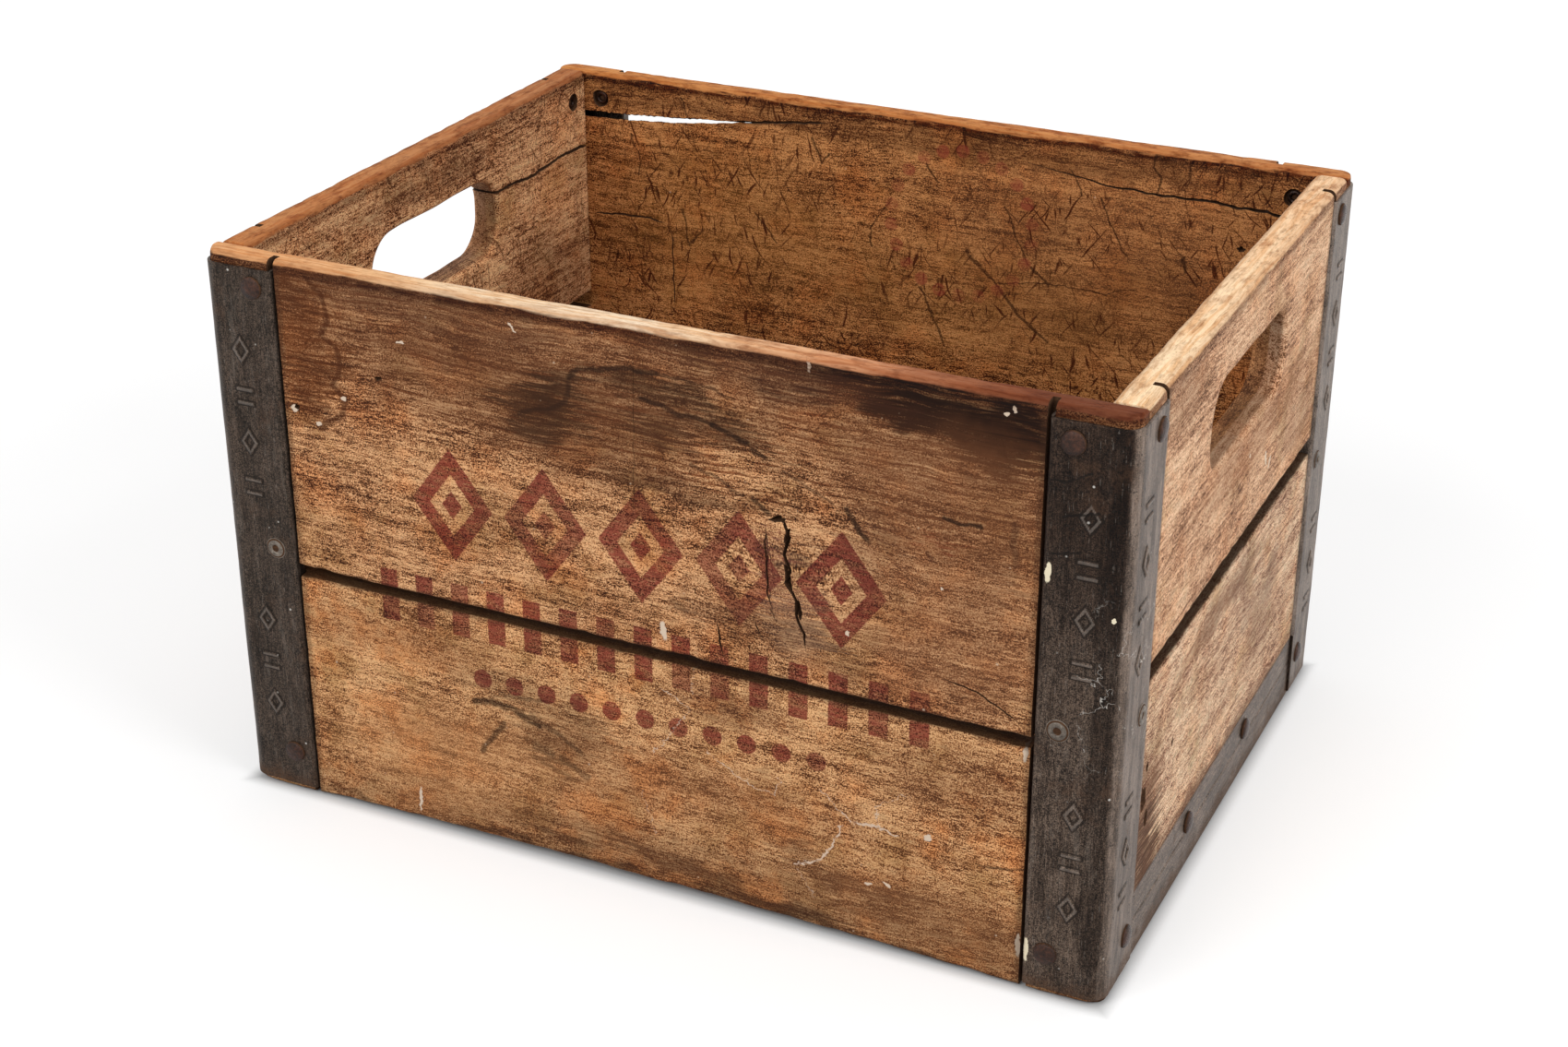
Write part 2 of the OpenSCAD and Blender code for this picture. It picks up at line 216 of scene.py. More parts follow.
def carve(piece: bpy.types.Object, cutters: Sequence[tuple[Skin, bpy.types.Material]]) -> None:
    """Cuts each closed skin out of a piece, and gives the cut faces that skin's finish.

    Args:
        piece: What is cut.
        cutters: Closed skins in mm, each with the finish of its cut.
    """
    tools = []
    for k, (skin, finish) in enumerate(cutters):
        tool = mesh_object(f"cutter_{k}", skin, finish)
        cut = piece.modifiers.new(f"cut_{k}", "BOOLEAN")
        cut.object, cut.operation, cut.solver, cut.material_mode = tool, "DIFFERENCE", "MANIFOLD", "TRANSFER"
        tools.append(tool)
    bpy.context.view_layer.update()
    whole = piece.data
    cut_mesh = bpy.data.meshes.new_from_object(piece.evaluated_get(bpy.context.evaluated_depsgraph_get()))
    piece.modifiers.clear()
    piece.data = cut_mesh
    cut_mesh.name = piece.name
    bpy.data.meshes.remove(whole)
    for tool in tools:
        mesh = tool.data
        bpy.data.objects.remove(tool)
        bpy.data.meshes.remove(mesh)
    bm = bmesh.new()
    bm.from_mesh(cut_mesh)
    bmesh.ops.remove_doubles(bm, verts=bm.verts, dist=0.02 * MM)
    bmesh.ops.dissolve_degenerate(bm, edges=bm.edges, dist=0.005 * MM)
    bm.to_mesh(cut_mesh)
    bm.free()


class Facing(Enum):
    """Which side of the crate a board's outer face looks to."""

    FRONT = "front"
    BACK = "back"
    LEFT = "left"
    RIGHT = "right"
    UNDER = "under"

    def put(self, s: np.ndarray, t: np.ndarray, w: np.ndarray) -> np.ndarray:
        """Turns a board's own lengths into places in the crate.

        Args:
            s: Along the grain.
            t: Into the board from its outer face.
            w: Across the board.
        Returns:
            Points in mm, with a last axis of three.
        """
        s, t, w = np.broadcast_arrays(s, t, w)
        if self is Facing.FRONT:
            return np.stack([s, t - HALF_W, w], -1)
        if self is Facing.BACK:
            return np.stack([s, HALF_W - t, w], -1)
        if self is Facing.LEFT:
            return np.stack([t - HALF_L, s, w], -1)
        if self is Facing.RIGHT:
            return np.stack([HALF_L - t, s, w], -1)
        return np.stack([s, w, t + SLAT_LOW], -1)


# ---------------------------------------------------------------- shader bench

class Bench:
    """A material under work: short calls that add nodes and join them, in millimetres of the crate."""

    def __init__(self, name: str) -> None:
        """Starts an empty material of this name with the crate's own coordinates in millimetres."""
        self.material = bpy.data.materials.new(name)
        self.material.use_nodes = True
        self.tree = self.material.node_tree
        self.tree.nodes.clear()
        coords = self.tree.nodes.new("ShaderNodeTexCoord").outputs["Object"]
        self.place = self.vector("SCALE", coords, scale=1000.0)
        parts = self.tree.nodes.new("ShaderNodeSeparateXYZ")
        self.tree.links.new(self.place, parts.inputs[0])
        self.x, self.y, self.z = parts.outputs

    def feed(self, socket: bpy.types.NodeSocket, value: Feed | None) -> None:
        """Links a socket, or sets its own value."""
        if value is None:
            return
        if isinstance(value, bpy.types.NodeSocket):
            self.tree.links.new(value, socket)
        else:
            socket.default_value = value

    def maths(self, operation: str, a: Feed, b: Feed | None = None, c: Feed | None = None, clamp: bool = False) -> bpy.types.NodeSocket:
        """One Math node."""
        node = self.tree.nodes.new("ShaderNodeMath")
        node.operation, node.use_clamp = operation, clamp
        for socket, value in zip(node.inputs, (a, b, c)):
            self.feed(socket, value)
        return node.outputs[0]

    def vector(self, operation: str, a: Feed, b: Feed | None = None, scale: Feed | None = None) -> bpy.types.NodeSocket:
        """One Vector Math node; a length, dot product or distance comes out as a number."""
        node = self.tree.nodes.new("ShaderNodeVectorMath")
        node.operation = operation
        self.feed(node.inputs[0], a)
        self.feed(node.inputs[1], b)
        self.feed(node.inputs[3], scale)
        return node.outputs["Value" if operation in ("LENGTH", "DOT_PRODUCT", "DISTANCE") else "Vector"]

    def triple(self, x: Feed, y: Feed, z: Feed) -> bpy.types.NodeSocket:
        """A vector of three numbers."""
        node = self.tree.nodes.new("ShaderNodeCombineXYZ")
        for socket, value in zip(node.inputs, (x, y, z)):
            self.feed(socket, value)
        return node.outputs[0]

    def noise(self, where: Feed, scale: float = 1.0, detail: float = 3.0, rough: float = 0.55, colour: bool = False) -> bpy.types.NodeSocket:
        """Noise at a scale per millimetre, from 0 to 1 round 0.5, or three such numbers as a colour."""
        node = self.tree.nodes.new("ShaderNodeTexNoise")
        self.feed(node.inputs["Vector"], where)
        node.inputs["Scale"].default_value = scale
        node.inputs["Detail"].default_value = detail
        node.inputs["Roughness"].default_value = rough
        return node.outputs["Color" if colour else 0]

    def cells(self, where: Feed, scale: float, edges: bool = False, random: float = 1.0) -> bpy.types.NodeSocket:
        """Distance to the nearest seed of a Voronoi pattern, or to the nearest border between two."""
        node = self.tree.nodes.new("ShaderNodeTexVoronoi")
        node.feature = "DISTANCE_TO_EDGE" if edges else "F1"
        self.feed(node.inputs["Vector"], where)
        node.inputs["Scale"].default_value = scale
        node.inputs["Randomness"].default_value = random
        return node.outputs["Distance"]

    def rise(self, x: Feed, low: float, high: float, floor: float = 0.0, top: float = 1.0) -> bpy.types.NodeSocket:
        """A smooth step of x between two values; low above high makes it fall."""
        node = self.tree.nodes.new("ShaderNodeMapRange")
        node.interpolation_type = "SMOOTHSTEP"
        if low > high:
            low, high, floor, top = high, low, top, floor
        self.feed(node.inputs["Value"], x)
        for name, value in (("From Min", low), ("From Max", high), ("To Min", floor), ("To Max", top)):
            node.inputs[name].default_value = value
        return node.outputs["Result"]

    def span(self, x: Feed, low: float, high: float, soft: float) -> bpy.types.NodeSocket:
        """One between two values and nothing outside, with soft steps."""
        return self.maths("MULTIPLY", self.rise(x, low - soft, low + soft), self.rise(x, high + soft, high - soft))

    def both(self, *masks: Feed) -> bpy.types.NodeSocket:
        """The product of several masks."""
        out = masks[0]
        for mask in masks[1:]:
            out = self.maths("MULTIPLY", out, mask)
        return out

    def either(self, *masks: Feed) -> bpy.types.NodeSocket:
        """The strongest of several masks."""
        out = masks[0]
        for mask in masks[1:]:
            out = self.maths("MAXIMUM", out, mask)
        return out

    def blend(self, share: Feed, a: Feed | Rgb, b: Feed | Rgb, mode: str = "MIX") -> bpy.types.NodeSocket:
        """Mixes two colours by a share from 0 to 1; a plain colour is given as it looks, 0 to 255."""
        node = self.tree.nodes.new("ShaderNodeMix")
        node.data_type, node.blend_type, node.clamp_factor = "RGBA", mode, True
        self.feed(node.inputs[0], share)
        for socket, value in ((node.inputs[6], a), (node.inputs[7], b)):
            self.feed(socket, value if isinstance(value, bpy.types.NodeSocket) else linear(value))
        return node.outputs[2]

    def ramp(self, x: Feed, stops: Sequence[tuple[float, Rgb]]) -> bpy.types.NodeSocket:
        """A colour ramp through stops of (place, colour as it looks)."""
        node = self.tree.nodes.new("ShaderNodeValToRGB")
        band = node.color_ramp
        while len(band.elements) < len(stops):
            band.elements.new(0.5)
        for element, (place, rgb) in zip(band.elements, stops):
            element.position, element.color = place, linear(rgb)
        self.feed(node.inputs[0], x)
        return node.outputs[0]

    def spot(self, plane: Feed, centre: tuple[float, float], radii: tuple[float, float], turn: float = 0.0) -> bpy.types.NodeSocket:
        """Distance from an ellipse's centre in its own radii: 1 on its edge.

        Args:
            plane: A vector whose first two parts are places on a face, in mm.
            centre: The ellipse's centre.
            radii: Its two radii.
            turn: How far it is turned anticlockwise, in degrees.
        Returns:
            The distance as a number.
        """
        node = self.tree.nodes.new("ShaderNodeMapping")
        node.vector_type = "TEXTURE"
        self.feed(node.inputs["Vector"], plane)
        node.inputs["Location"].default_value = (*centre, 0)
        node.inputs["Rotation"].default_value = (0, 0, np.radians(turn))
        node.inputs["Scale"].default_value = (*radii, 1)
        return self.vector("LENGTH", node.outputs[0])

    def stroke(self, plane: Feed, path: Sequence[tuple[float, float]]) -> bpy.types.NodeSocket:
        """Distance in mm from a line of straight runs drawn on a face.

        Args:
            plane: A vector whose first two parts are places on the face, its third 0.
            path: The line's corners.
        Returns:
            For each run the place is dropped onto it and held between its ends; the least distance is kept.
        """
        best: bpy.types.NodeSocket | None = None
        for (ax, ay), (bx, by) in zip(path[:-1], path[1:]):
            length = float(np.hypot(bx - ax, by - ay))
            along = ((bx - ax) / length, (by - ay) / length, 0.0)
            off = self.vector("SUBTRACT", plane, (ax, ay, 0.0))
            reach = self.maths("MINIMUM", self.maths("MAXIMUM", self.vector("DOT_PRODUCT", off, along), 0.0), length)
            foot = self.vector("SCALE", along, scale=reach)
            far = self.vector("DISTANCE", off, foot)
            best = far if best is None else self.maths("MINIMUM", best, far)
        return best

    def finish(self, colour: Feed, rough: Feed, height: Feed | None, depth: float, metal: Feed = 0.0, shine: float = 0.5, strength: float = 1.0) -> bpy.types.Material:
        """Ends the material in one Principled shader.

        Args:
            colour: Base colour.
            rough: Roughness.
            height: Relief for the bump, from about 0 to 1.
            depth: What a height of 1 stands for, in mm.
            metal: Metallic.
            shine: Specular level, a plain number.
            strength: The bump's strength.
        Returns:
            The material.
        """
        shader = self.tree.nodes.new("ShaderNodeBsdfPrincipled")
        self.feed(shader.inputs["Base Color"], colour)
        self.feed(shader.inputs["Roughness"], rough)
        self.feed(shader.inputs["Metallic"], metal)
        shader.inputs["Specular IOR Level"].default_value = shine
        if height is not None:
            bump = self.tree.nodes.new("ShaderNodeBump")
            bump.inputs["Strength"].default_value = strength
            bump.inputs["Distance"].default_value = depth * MM
            self.feed(bump.inputs["Height"], height)
            self.tree.links.new(bump.outputs[0], shader.inputs["Normal"])
        out = self.tree.nodes.new("ShaderNodeOutputMaterial")
        self.tree.links.new(shader.outputs[0], out.inputs[0])
        return self.material


# ---------------------------------------------------------------- finishes

@dataclass(frozen=True)
class StainAndShade:
    """A dark or pale patch on a face: an ellipse whose edge runs ragged along the grain. Most are soaked-in dirt; the
    one along the foot of the front's lower board is painted shade.
    """

    centre: tuple[float, float]
    radii: tuple[float, float]
    rgb: Rgb
    share: float = 0.6
    turn: float = 0.0
    soft: float = 0.35
    ring: float = 0.0  # above 0 only a rim of this half width is stained, in radii


@dataclass(frozen=True)
class Fleck:
    """A drip of old paint or plaster, given as a small ellipse."""

    centre: tuple[float, float]
    radii: tuple[float, float]
    turn: float = 0.0


@dataclass(frozen=True)
class Ink:
    """The faded print on the front: a row of lozenges, a band of bars and a row of dots."""

    rgb: Rgb = (72, 22, 32)
    strength: float = 0.9
    lozenge_z: float = 176.0
    lozenge_half: tuple[float, float] = (21.0, 28.0)
    lozenge_pitch: float = 48.0
    lozenge_span: float = 120.0
    bar_z: tuple[float, float] = (109.0, 136.0)
    bar_half: float = 4.6
    bar_pitch: float = 19.0
    bar_span: float = 142.0
    dot_z: float = 89.0
    dot_r: float = 4.8
    dot_pitch: float = 17.0
    dot_span: float = 93.5

    def repeat(self, bench: Bench, u: Feed, pitch: float) -> bpy.types.NodeSocket:
        """Distance along the row from the middle of the nearest of evenly spaced marks."""
        turns = bench.maths("ADD", bench.maths("DIVIDE", u, pitch), 100.0)
        return bench.maths("MULTIPLY", bench.maths("ABSOLUTE", bench.maths("SUBTRACT", bench.maths("FRACT", turns), 0.5)), pitch)

    def mask(self, bench: Bench, u: Feed, v: Feed) -> bpy.types.NodeSocket:
        """Where the print lies.

        Args:
            bench: The material under work.
            u: Place along the front.
            v: Height on the front.
        Returns:
            1 on the print and 0 off it: a lozenge is where the sum of its two distances, each in its own half
            width, is under 1, and its heart is cut out between two such sums.
        """
        du = self.repeat(bench, bench.maths("ADD", u, self.lozenge_pitch / 2), self.lozenge_pitch)
        dv = bench.maths("ABSOLUTE", bench.maths("SUBTRACT", v, self.lozenge_z))
        far = bench.maths("ADD", bench.maths("DIVIDE", du, self.lozenge_half[0]), bench.maths("DIVIDE", dv, self.lozenge_half[1]))
        frame_part = bench.both(bench.rise(far, 1.02, 0.98), bench.rise(far, 0.53, 0.57))
        heart = bench.rise(far, 0.27, 0.23)
        row = bench.both(bench.either(frame_part, heart), bench.span(u, -self.lozenge_span, self.lozenge_span, 0.3))
        du = self.repeat(bench, bench.maths("ADD", u, self.bar_pitch / 2), self.bar_pitch)
        bars = bench.both(bench.rise(du, self.bar_half + 0.3, self.bar_half - 0.3), bench.span(v, *self.bar_z, 0.3),
                          bench.span(u, -self.bar_span, self.bar_span, 0.3))
        du = self.repeat(bench, bench.maths("ADD", u, self.dot_pitch / 2), self.dot_pitch)
        dots = bench.vector("LENGTH", bench.triple(du, bench.maths("SUBTRACT", v, self.dot_z), 0.0))
        dots = bench.both(bench.rise(dots, self.dot_r + 0.3, self.dot_r - 0.3), bench.span(u, -self.dot_span, self.dot_span, 0.3))
        return bench.either(row, bars, dots)


@dataclass(frozen=True)
class Wood:
    """Old plank wood: growth bands, fibre, pores, dirt, scratches, stained patches, a worn rim whose rounded sides take
    painted shade, and dark edges of dirt and painted shade.
    """

    name: str
    facing: Facing
    dark: Rgb
    mid: Rgb
    pale: Rgb
    seed: float = 0.0
    inner: tuple[Rgb, Rgb, Rgb] | None = None  # the same three tones on the inner face
    thick: float = SIDE_T
    band: float = 1.0  # how strong the broad growth bands are
    warm: float = 0.55  # how far the hue drifts to orange
    dirt: float = 0.5
    scratch: float = 0.3
    inner_scratch: float = 0.8
    rim: tuple[tuple[float, Rgb], ...] = ()  # tones of the worn rim at places along the grain
    rim_side_wear_and_shade: float = 0.5  # how much browner the rim's rounded sides are than its crest: the crest is worn pale, and the sides take painted shade
    rim_z: float = 277.0
    rim_rag: float = 2.4  # how ragged the rim's lower border is
    rim_line: float = 0.6  # how dark the line under it is
    rim_dirt: tuple[float, float] = (0.6, 0.6)  # how soiled the rim is, first and second half along the grain
    rings: tuple[float, float, float] = (0.0, 1.0, 0.0)  # where the growth lines start and are full across the grain, and their strength
    punch: float = 1.0  # how strong all the fine figure is
    tint: Rgb = (249, 239, 234)  # takes the whole board a little darker and browner
    edges: tuple[float, ...] = ()  # heights of the edges along the grain that are dark: dirt and painted shade in the seams and where a board meets the floor, the slats or the strip
    kerfs: tuple[float, ...] = ()  # places along the grain where the steel's edges have marked the wood
    stains_and_shade: tuple[StainAndShade, ...] = ()
    inner_stains: tuple[StainAndShade, ...] = ()
    strokes: tuple[tuple[tuple[tuple[float, float], ...], float, Rgb, float], ...] = ()  # path, half width, colour, share
    gouges: tuple[tuple[tuple[tuple[float, float], ...], float], ...] = ()  # long dark scratches on the inner face: path, half width
    flecks: tuple[Fleck, ...] = ()
    threads: tuple[tuple[tuple[tuple[float, float], ...], float, float], ...] = ()  # pale dried trails: path, half width, share
    knot: tuple[float, float, float] | None = None  # centre and how far the grain is pushed aside
    ink: Ink | None = None
    ring: bool = False  # the faint ring of dots on the inner face

    def make(self) -> bpy.types.Material:
        """Builds the material and returns it."""
        b = Bench(self.name)
        if self.facing in (Facing.FRONT, Facing.BACK):
            u, v, d = b.x, b.z, b.y
        elif self.facing is Facing.UNDER:
            u, v, d = b.x, b.y, b.z
        else:
            u, v, d = b.y, b.z, b.x
        outer = {Facing.FRONT: -HALF_W, Facing.BACK: HALF_W, Facing.LEFT: -HALF_L, Facing.RIGHT: HALF_L, Facing.UNDER: SLAT_LOW}[self.facing]
        sign = -1.0 if outer > 2 else 1.0
        depth = b.maths("MULTIPLY", b.maths("SUBTRACT", d, outer), sign)
        inside = b.rise(depth, self.thick * 0.5 - 0.5, self.thick * 0.5 + 0.5)
        seed = (37.0 * self.seed, 91.0 * self.seed, 53.0 * self.seed)

        # across the grain, pushed aside round the knot by a bell of its distance
        across = v
        if self.knot:
            ku, kv, push = self.knot
            off = b.maths("SUBTRACT", v, kv)
            near = b.vector("LENGTH", b.triple(b.maths("DIVIDE", b.maths("SUBTRACT", u, ku), 34.0), b.maths("DIVIDE", off, 30.0), 0.0))
            bell = b.maths("POWER", 2.718, b.maths("MULTIPLY", b.maths("MULTIPLY", near, near), -1.0))
            side = b.rise(off, -12.0, 12.0, -1.0, 1.0)
            across = b.maths("SUBTRACT", v, b.both(bell, side, push))
        body = b.vector("ADD", b.triple(u, across, d), seed)
        sway = b.vector("SUBTRACT", b.noise(b.vector("MULTIPLY", body, (0.011, 0.02, 0.03)), 1.0, 3.0, colour=True), (0.5, 0.5, 0.5))
        grain = b.vector("ADD", body, b.vector("MULTIPLY", sway, (30.0, 13.0, 9.0)))

        band = b.noise(b.vector("MULTIPLY", grain, (0.006, 0.11, 0.09)), 1.0, 3.0, 0.6)
        lines = b.noise(b.vector("MULTIPLY", grain, (0.014, 0.5, 0.45)), 1.0, 4.0, 0.7)
        fibre = b.noise(b.vector("MULTIPLY", grain, (0.18, 1.7, 1.7)), 1.0, 3.0, 0.7)
        fleck = b.noise(b.vector("MULTIPLY", body, (0.42, 1.5, 1.5)), 1.0, 4.0, 0.78)
        blotch = b.noise(body, 0.022, 4.0, 0.62)
        mottle = b.noise(b.vector("MULTIPLY", body, (0.10, 0.26, 0.26)), 1.0, 5.0, 0.68)
        sand = b.noise(body, 1.5, 2.0, 0.6)

        tone = b.maths("ADD", b.maths("MULTIPLY", b.maths("SUBTRACT", band, 0.5), 0.9 * self.band), 0.52)
        for part, gain in ((lines, 1.7 * self.band), (fibre, 1.9 * self.punch), (fleck, 1.5 * self.punch), (sand, 3.3 * self.punch), (mottle, 1.5 * self.punch), (blotch, 1.3)):
            tone = b.maths("ADD", tone, b.maths("MULTIPLY", b.maths("SUBTRACT", part, 0.5), gain))
        tone = b.maths("ADD", b.maths("MULTIPLY", tone, 0.92), 0.035)
        colour = b.ramp(tone, self.tones(self.dark, self.mid, self.pale))
        if self.inner:
            colour = b.blend(inside, colour, b.ramp(tone, self.tones(*self.inner)))
        # the hue drifts between orange brown and grey olive
        drift_hue = b.noise(body, 0.034, 4.0, 0.62, colour=True)
        hues = b.tree.nodes.new("ShaderNodeSeparateXYZ")
        b.feed(hues.inputs[0], drift_hue)
        colour = b.blend(b.both(b.rise(hues.outputs[0], 0.46, 0.68), self.warm), colour, b.blend(1.0, colour, (255, 200, 142), "MULTIPLY"))
        colour = b.blend(b.both(b.rise(hues.outputs[1], 0.48, 0.70), 0.55), colour, b.blend(1.0, colour, (196, 188, 160), "MULTIPLY"))

        if self.rings[2]:
            # growth lines: a sine across the grain, broken into dashes, in one zone of the board
            sides = b.tree.nodes.new("ShaderNodeSeparateXYZ")
            b.feed(sides.inputs[0], grain)
            wave = b.maths("SINE", b.maths("ADD", b.maths("MULTIPLY", sides.outputs[1], 1.75), b.maths("MULTIPLY", band, 9.0)))
            zone = b.rise(b.maths("ADD", v, b.maths("MULTIPLY", b.maths("SUBTRACT", blotch, 0.5), 60.0)), self.rings[0], self.rings[1])
            dashes = b.rise(b.noise(b.vector("MULTIPLY", grain, (0.045, 0.5, 0.5)), 1.0, 3.0, 0.7), 0.42, 0.60, 0.1, 1.0)
            colour = b.blend(b.both(b.rise(wave, -0.1, 0.9), dashes, zone, self.rings[2]), colour, b.blend(1.0, colour, (140, 96, 66), "MULTIPLY"))

        # dirt lies in patches and thins to specks
        grime_and_shade = b.both(b.rise(mottle, 0.51, 0.76), b.rise(blotch, 0.30, 0.62, 0.25, 1.0), self.dirt)
        colour = b.blend(grime_and_shade, colour, (70, 48, 33), "MIX")
        specks = b.both(b.rise(b.noise(body, 0.95, 2.0, 0.5), 0.68, 0.74), 0.55 * min(1.0, self.dirt * 1.6))
        pores = b.both(b.rise(b.noise(b.vector("MULTIPLY", grain, (0.13, 1.6, 1.6)), 1.0, 1.0), 0.66, 0.74), 0.4)
        colour = b.blend(b.either(specks, pores), colour, (52, 34, 22))

        # a ragged plane for the patches: it jumps along the grain from line to line
        jump = b.maths("MULTIPLY", b.maths("SUBTRACT", b.noise(b.vector("MULTIPLY", body, (0.02, 0.8, 0.8)), 1.0, 2.0), 0.5), 66.0)
        drift = b.vector("MULTIPLY", b.vector("SUBTRACT", b.noise(body, 0.045, 3.0, colour=True), (0.5, 0.5, 0.5)), (34.0, 22.0, 0.0))
        flat = b.triple(u, v, 0.0)
        ragged = b.vector("ADD", b.vector("ADD", flat, drift), b.triple(jump, 0.0, 0.0))
        wet = b.noise(b.vector("MULTIPLY", grain, (0.03, 0.8, 0.8)), 1.0, 3.0, 0.7)
        for group, where in ((self.stains_and_shade, b.maths("SUBTRACT", 1.0, inside)), (self.inner_stains, inside)):
            for stain_and_shade in group:
                far = b.spot(ragged, stain_and_shade.centre, stain_and_shade.radii, stain_and_shade.turn)
                if stain_and_shade.ring:
                    far = b.maths("ADD", b.maths("ABSOLUTE", b.maths("SUBTRACT", far, 1.0)), 1.0 - stain_and_shade.ring)
                mask = b.both(b.rise(far, 1.0 + stain_and_shade.soft, 1.0 - stain_and_shade.soft), b.rise(wet, 0.32, 0.58, 0.5, 1.0), where, stain_and_shade.share)
                colour = b.blend(mask, colour, stain_and_shade.rgb)
        height = b.maths("ADD", b.maths("MULTIPLY", lines, 0.5), b.maths("MULTIPLY", fibre, 0.55))

        # scratches: thin dashes, in a few set directions on each face
        marks: bpy.types.NodeSocket | None = None
        for k, (turn, length, width, cut) in enumerate(((72, 0.065, 0.45, 0.645), (-58, 0.050, 0.55, 0.65), (-80, 0.075, 0.42, 0.65), (84, 0.090, 0.75, 0.66), (47, 0.045, 0.80, 0.66))):
            node = b.tree.nodes.new("ShaderNodeMapping")
            node.inputs["Rotation"].default_value = (0, 0, np.radians(turn))
            node.inputs["Location"].default_value = (11.0 * k, 7.0 * k, 3.0 * self.seed)
            bend = b.vector("ADD", b.triple(u, v, 0.0), b.vector("MULTIPLY", sway, (16.0, 16.0, 0.0)))
            b.feed(node.inputs["Vector"], bend)
            dash = b.noise(b.vector("MULTIPLY", node.outputs[0], (length, width, 1.0)), 1.0, 1.0, 0.4)
            dash = b.rise(dash, cut, cut + 0.10)
            marks = dash if marks is None else b.either(marks, dash)
        heavy = b.maths("ADD", b.maths("MULTIPLY", inside, self.inner_scratch - self.scratch), self.scratch)
        marks = b.both(marks, heavy, b.rise(b.noise(body, 0.018, 2.0), 0.38, 0.56, 0.15, 1.0))
        colour = b.blend(marks, colour, b.blend(0.6, b.blend(1.0, colour, (150, 92, 58), "MULTIPLY"), (54, 28, 13)))
        height = b.maths("SUBTRACT", height, b.maths("MULTIPLY", marks, 0.6))

        shaky = b.vector("ADD", flat, b.vector("MULTIPLY", b.vector("SUBTRACT", b.noise(body, 0.12, 3.0, colour=True), (0.5, 0.5, 0.5)), (5.0, 5.0, 0.0)))
        for path, half, rgb, share in self.strokes:
            mask = b.both(b.rise(b.stroke(shaky, path), half * 1.5, half * 0.4), b.maths("SUBTRACT", 1.0, inside), b.rise(wet, 0.30, 0.50, 0.6, 1.0), share)
            colour = b.blend(mask, colour, rgb)
        for path, half in self.gouges:
            mask = b.both(b.rise(b.stroke(shaky, path), half * 1.5, half * 0.5), inside, b.rise(fleck, 0.36, 0.56, 0.45, 1.0), 0.85)
            colour = b.blend(mask, colour, (46, 25, 13))

        if self.ink:
            soft = b.vector("ADD", flat, b.vector("MULTIPLY", b.vector("SUBTRACT", b.noise(grain, 0.5, 3.0, colour=True), (0.5, 0.5, 0.5)), (1.3, 0.9, 0.0)))
            parts = b.tree.nodes.new("ShaderNodeSeparateXYZ")
            b.feed(parts.inputs[0], soft)
            mask = self.ink.mask(b, parts.outputs[0], parts.outputs[1])
            worn = b.both(b.rise(fibre, 0.30, 0.50, 0.50, 1.0), b.rise(mottle, 0.34, 0.52, 0.62, 1.0), b.rise(blotch, 0.30, 0.55, 0.62, 1.0))
            mask = b.both(mask, worn, self.ink.strength, b.rise(depth, 1.2, 0.6))
            colour = b.blend(mask, colour, b.blend(0.62, self.ink.rgb, b.blend(1.0, colour, (180, 92, 104), "MULTIPLY")))

        if self.ring:
            polar = b.tree.nodes.new("ShaderNodeVectorMath")
            polar.operation = "SUBTRACT"
            b.feed(polar.inputs[0], flat)
            polar.inputs[1].default_value = (20.0, 224.0, 0.0)
            parts = b.tree.nodes.new("ShaderNodeSeparateXYZ")
            b.feed(parts.inputs[0], polar.outputs[0])
            angle = b.maths("DIVIDE", b.maths("ARCTAN2", parts.outputs[1], parts.outputs[0]), 2 * np.pi / 22)
            round_it = b.maths("MULTIPLY", b.maths("SUBTRACT", b.maths("FRACT", b.maths("ADD", angle, 50.0)), 0.5), 2 * np.pi * 40.0 / 22)
            out = b.maths("SUBTRACT", b.vector("LENGTH", polar.outputs[0]), 40.0)
            dot = b.rise(b.vector("LENGTH", b.triple(round_it, out, 0.0)), 4.2, 3.2)
            mask = b.both(dot, inside, b.rise(mottle, 0.38, 0.56, 0.3, 1.0), b.rise(blotch, 0.35, 0.6, 0.3, 1.0), 0.62)
            colour = b.blend(mask, colour, (150, 62, 50))

        # pale dried trails and drips
        if self.threads:
            shaky = b.vector("ADD", flat, b.vector("MULTIPLY", b.vector("SUBTRACT", b.noise(body, 0.30, 3.0, colour=True), (0.5, 0.5, 0.5)), (6.5, 6.5, 0.0)))
            broken = b.rise(b.noise(body, 0.45, 2.0), 0.38, 0.54, 0.15, 1.0)
            for path, half, share in self.threads:
                mask = b.both(b.rise(b.stroke(shaky, path), half * 1.5, half * 0.5), b.maths("SUBTRACT", 1.0, inside), broken, share)
                colour = b.blend(mask, colour, (222, 204, 184))
        if self.flecks:
            shaky = b.vector("ADD", flat, b.vector("MULTIPLY", b.vector("SUBTRACT", b.noise(body, 0.35, 3.0, colour=True), (0.5, 0.5, 0.5)), (3.4, 3.4, 0.0)))
            cover = None
            for one in self.flecks:
                zone = b.rise(b.spot(shaky, one.centre, one.radii, one.turn), 1.15, 0.85)
                cover = zone if cover is None else b.either(cover, zone)
            colour = b.blend(b.both(cover, b.maths("SUBTRACT", 1.0, inside)), colour, (226, 212, 192))
            height = b.maths("ADD", height, b.maths("MULTIPLY", cover, 0.8))
        dust = b.both(b.rise(b.cells(body, 0.055), 0.045, 0.02), b.rise(b.noise(body, 0.03, 2.0), 0.5, 0.6), 0.6)
        colour = b.blend(dust, colour, (215, 198, 175))
        lint = b.both(b.rise(b.cells(body, 0.12), 0.075, 0.03), b.rise(b.noise(body, 0.07, 2.0), 0.5, 0.56), b.maths("SUBTRACT", 1.0, inside), 0.6)
        colour = b.blend(lint, colour, (208, 184, 156))
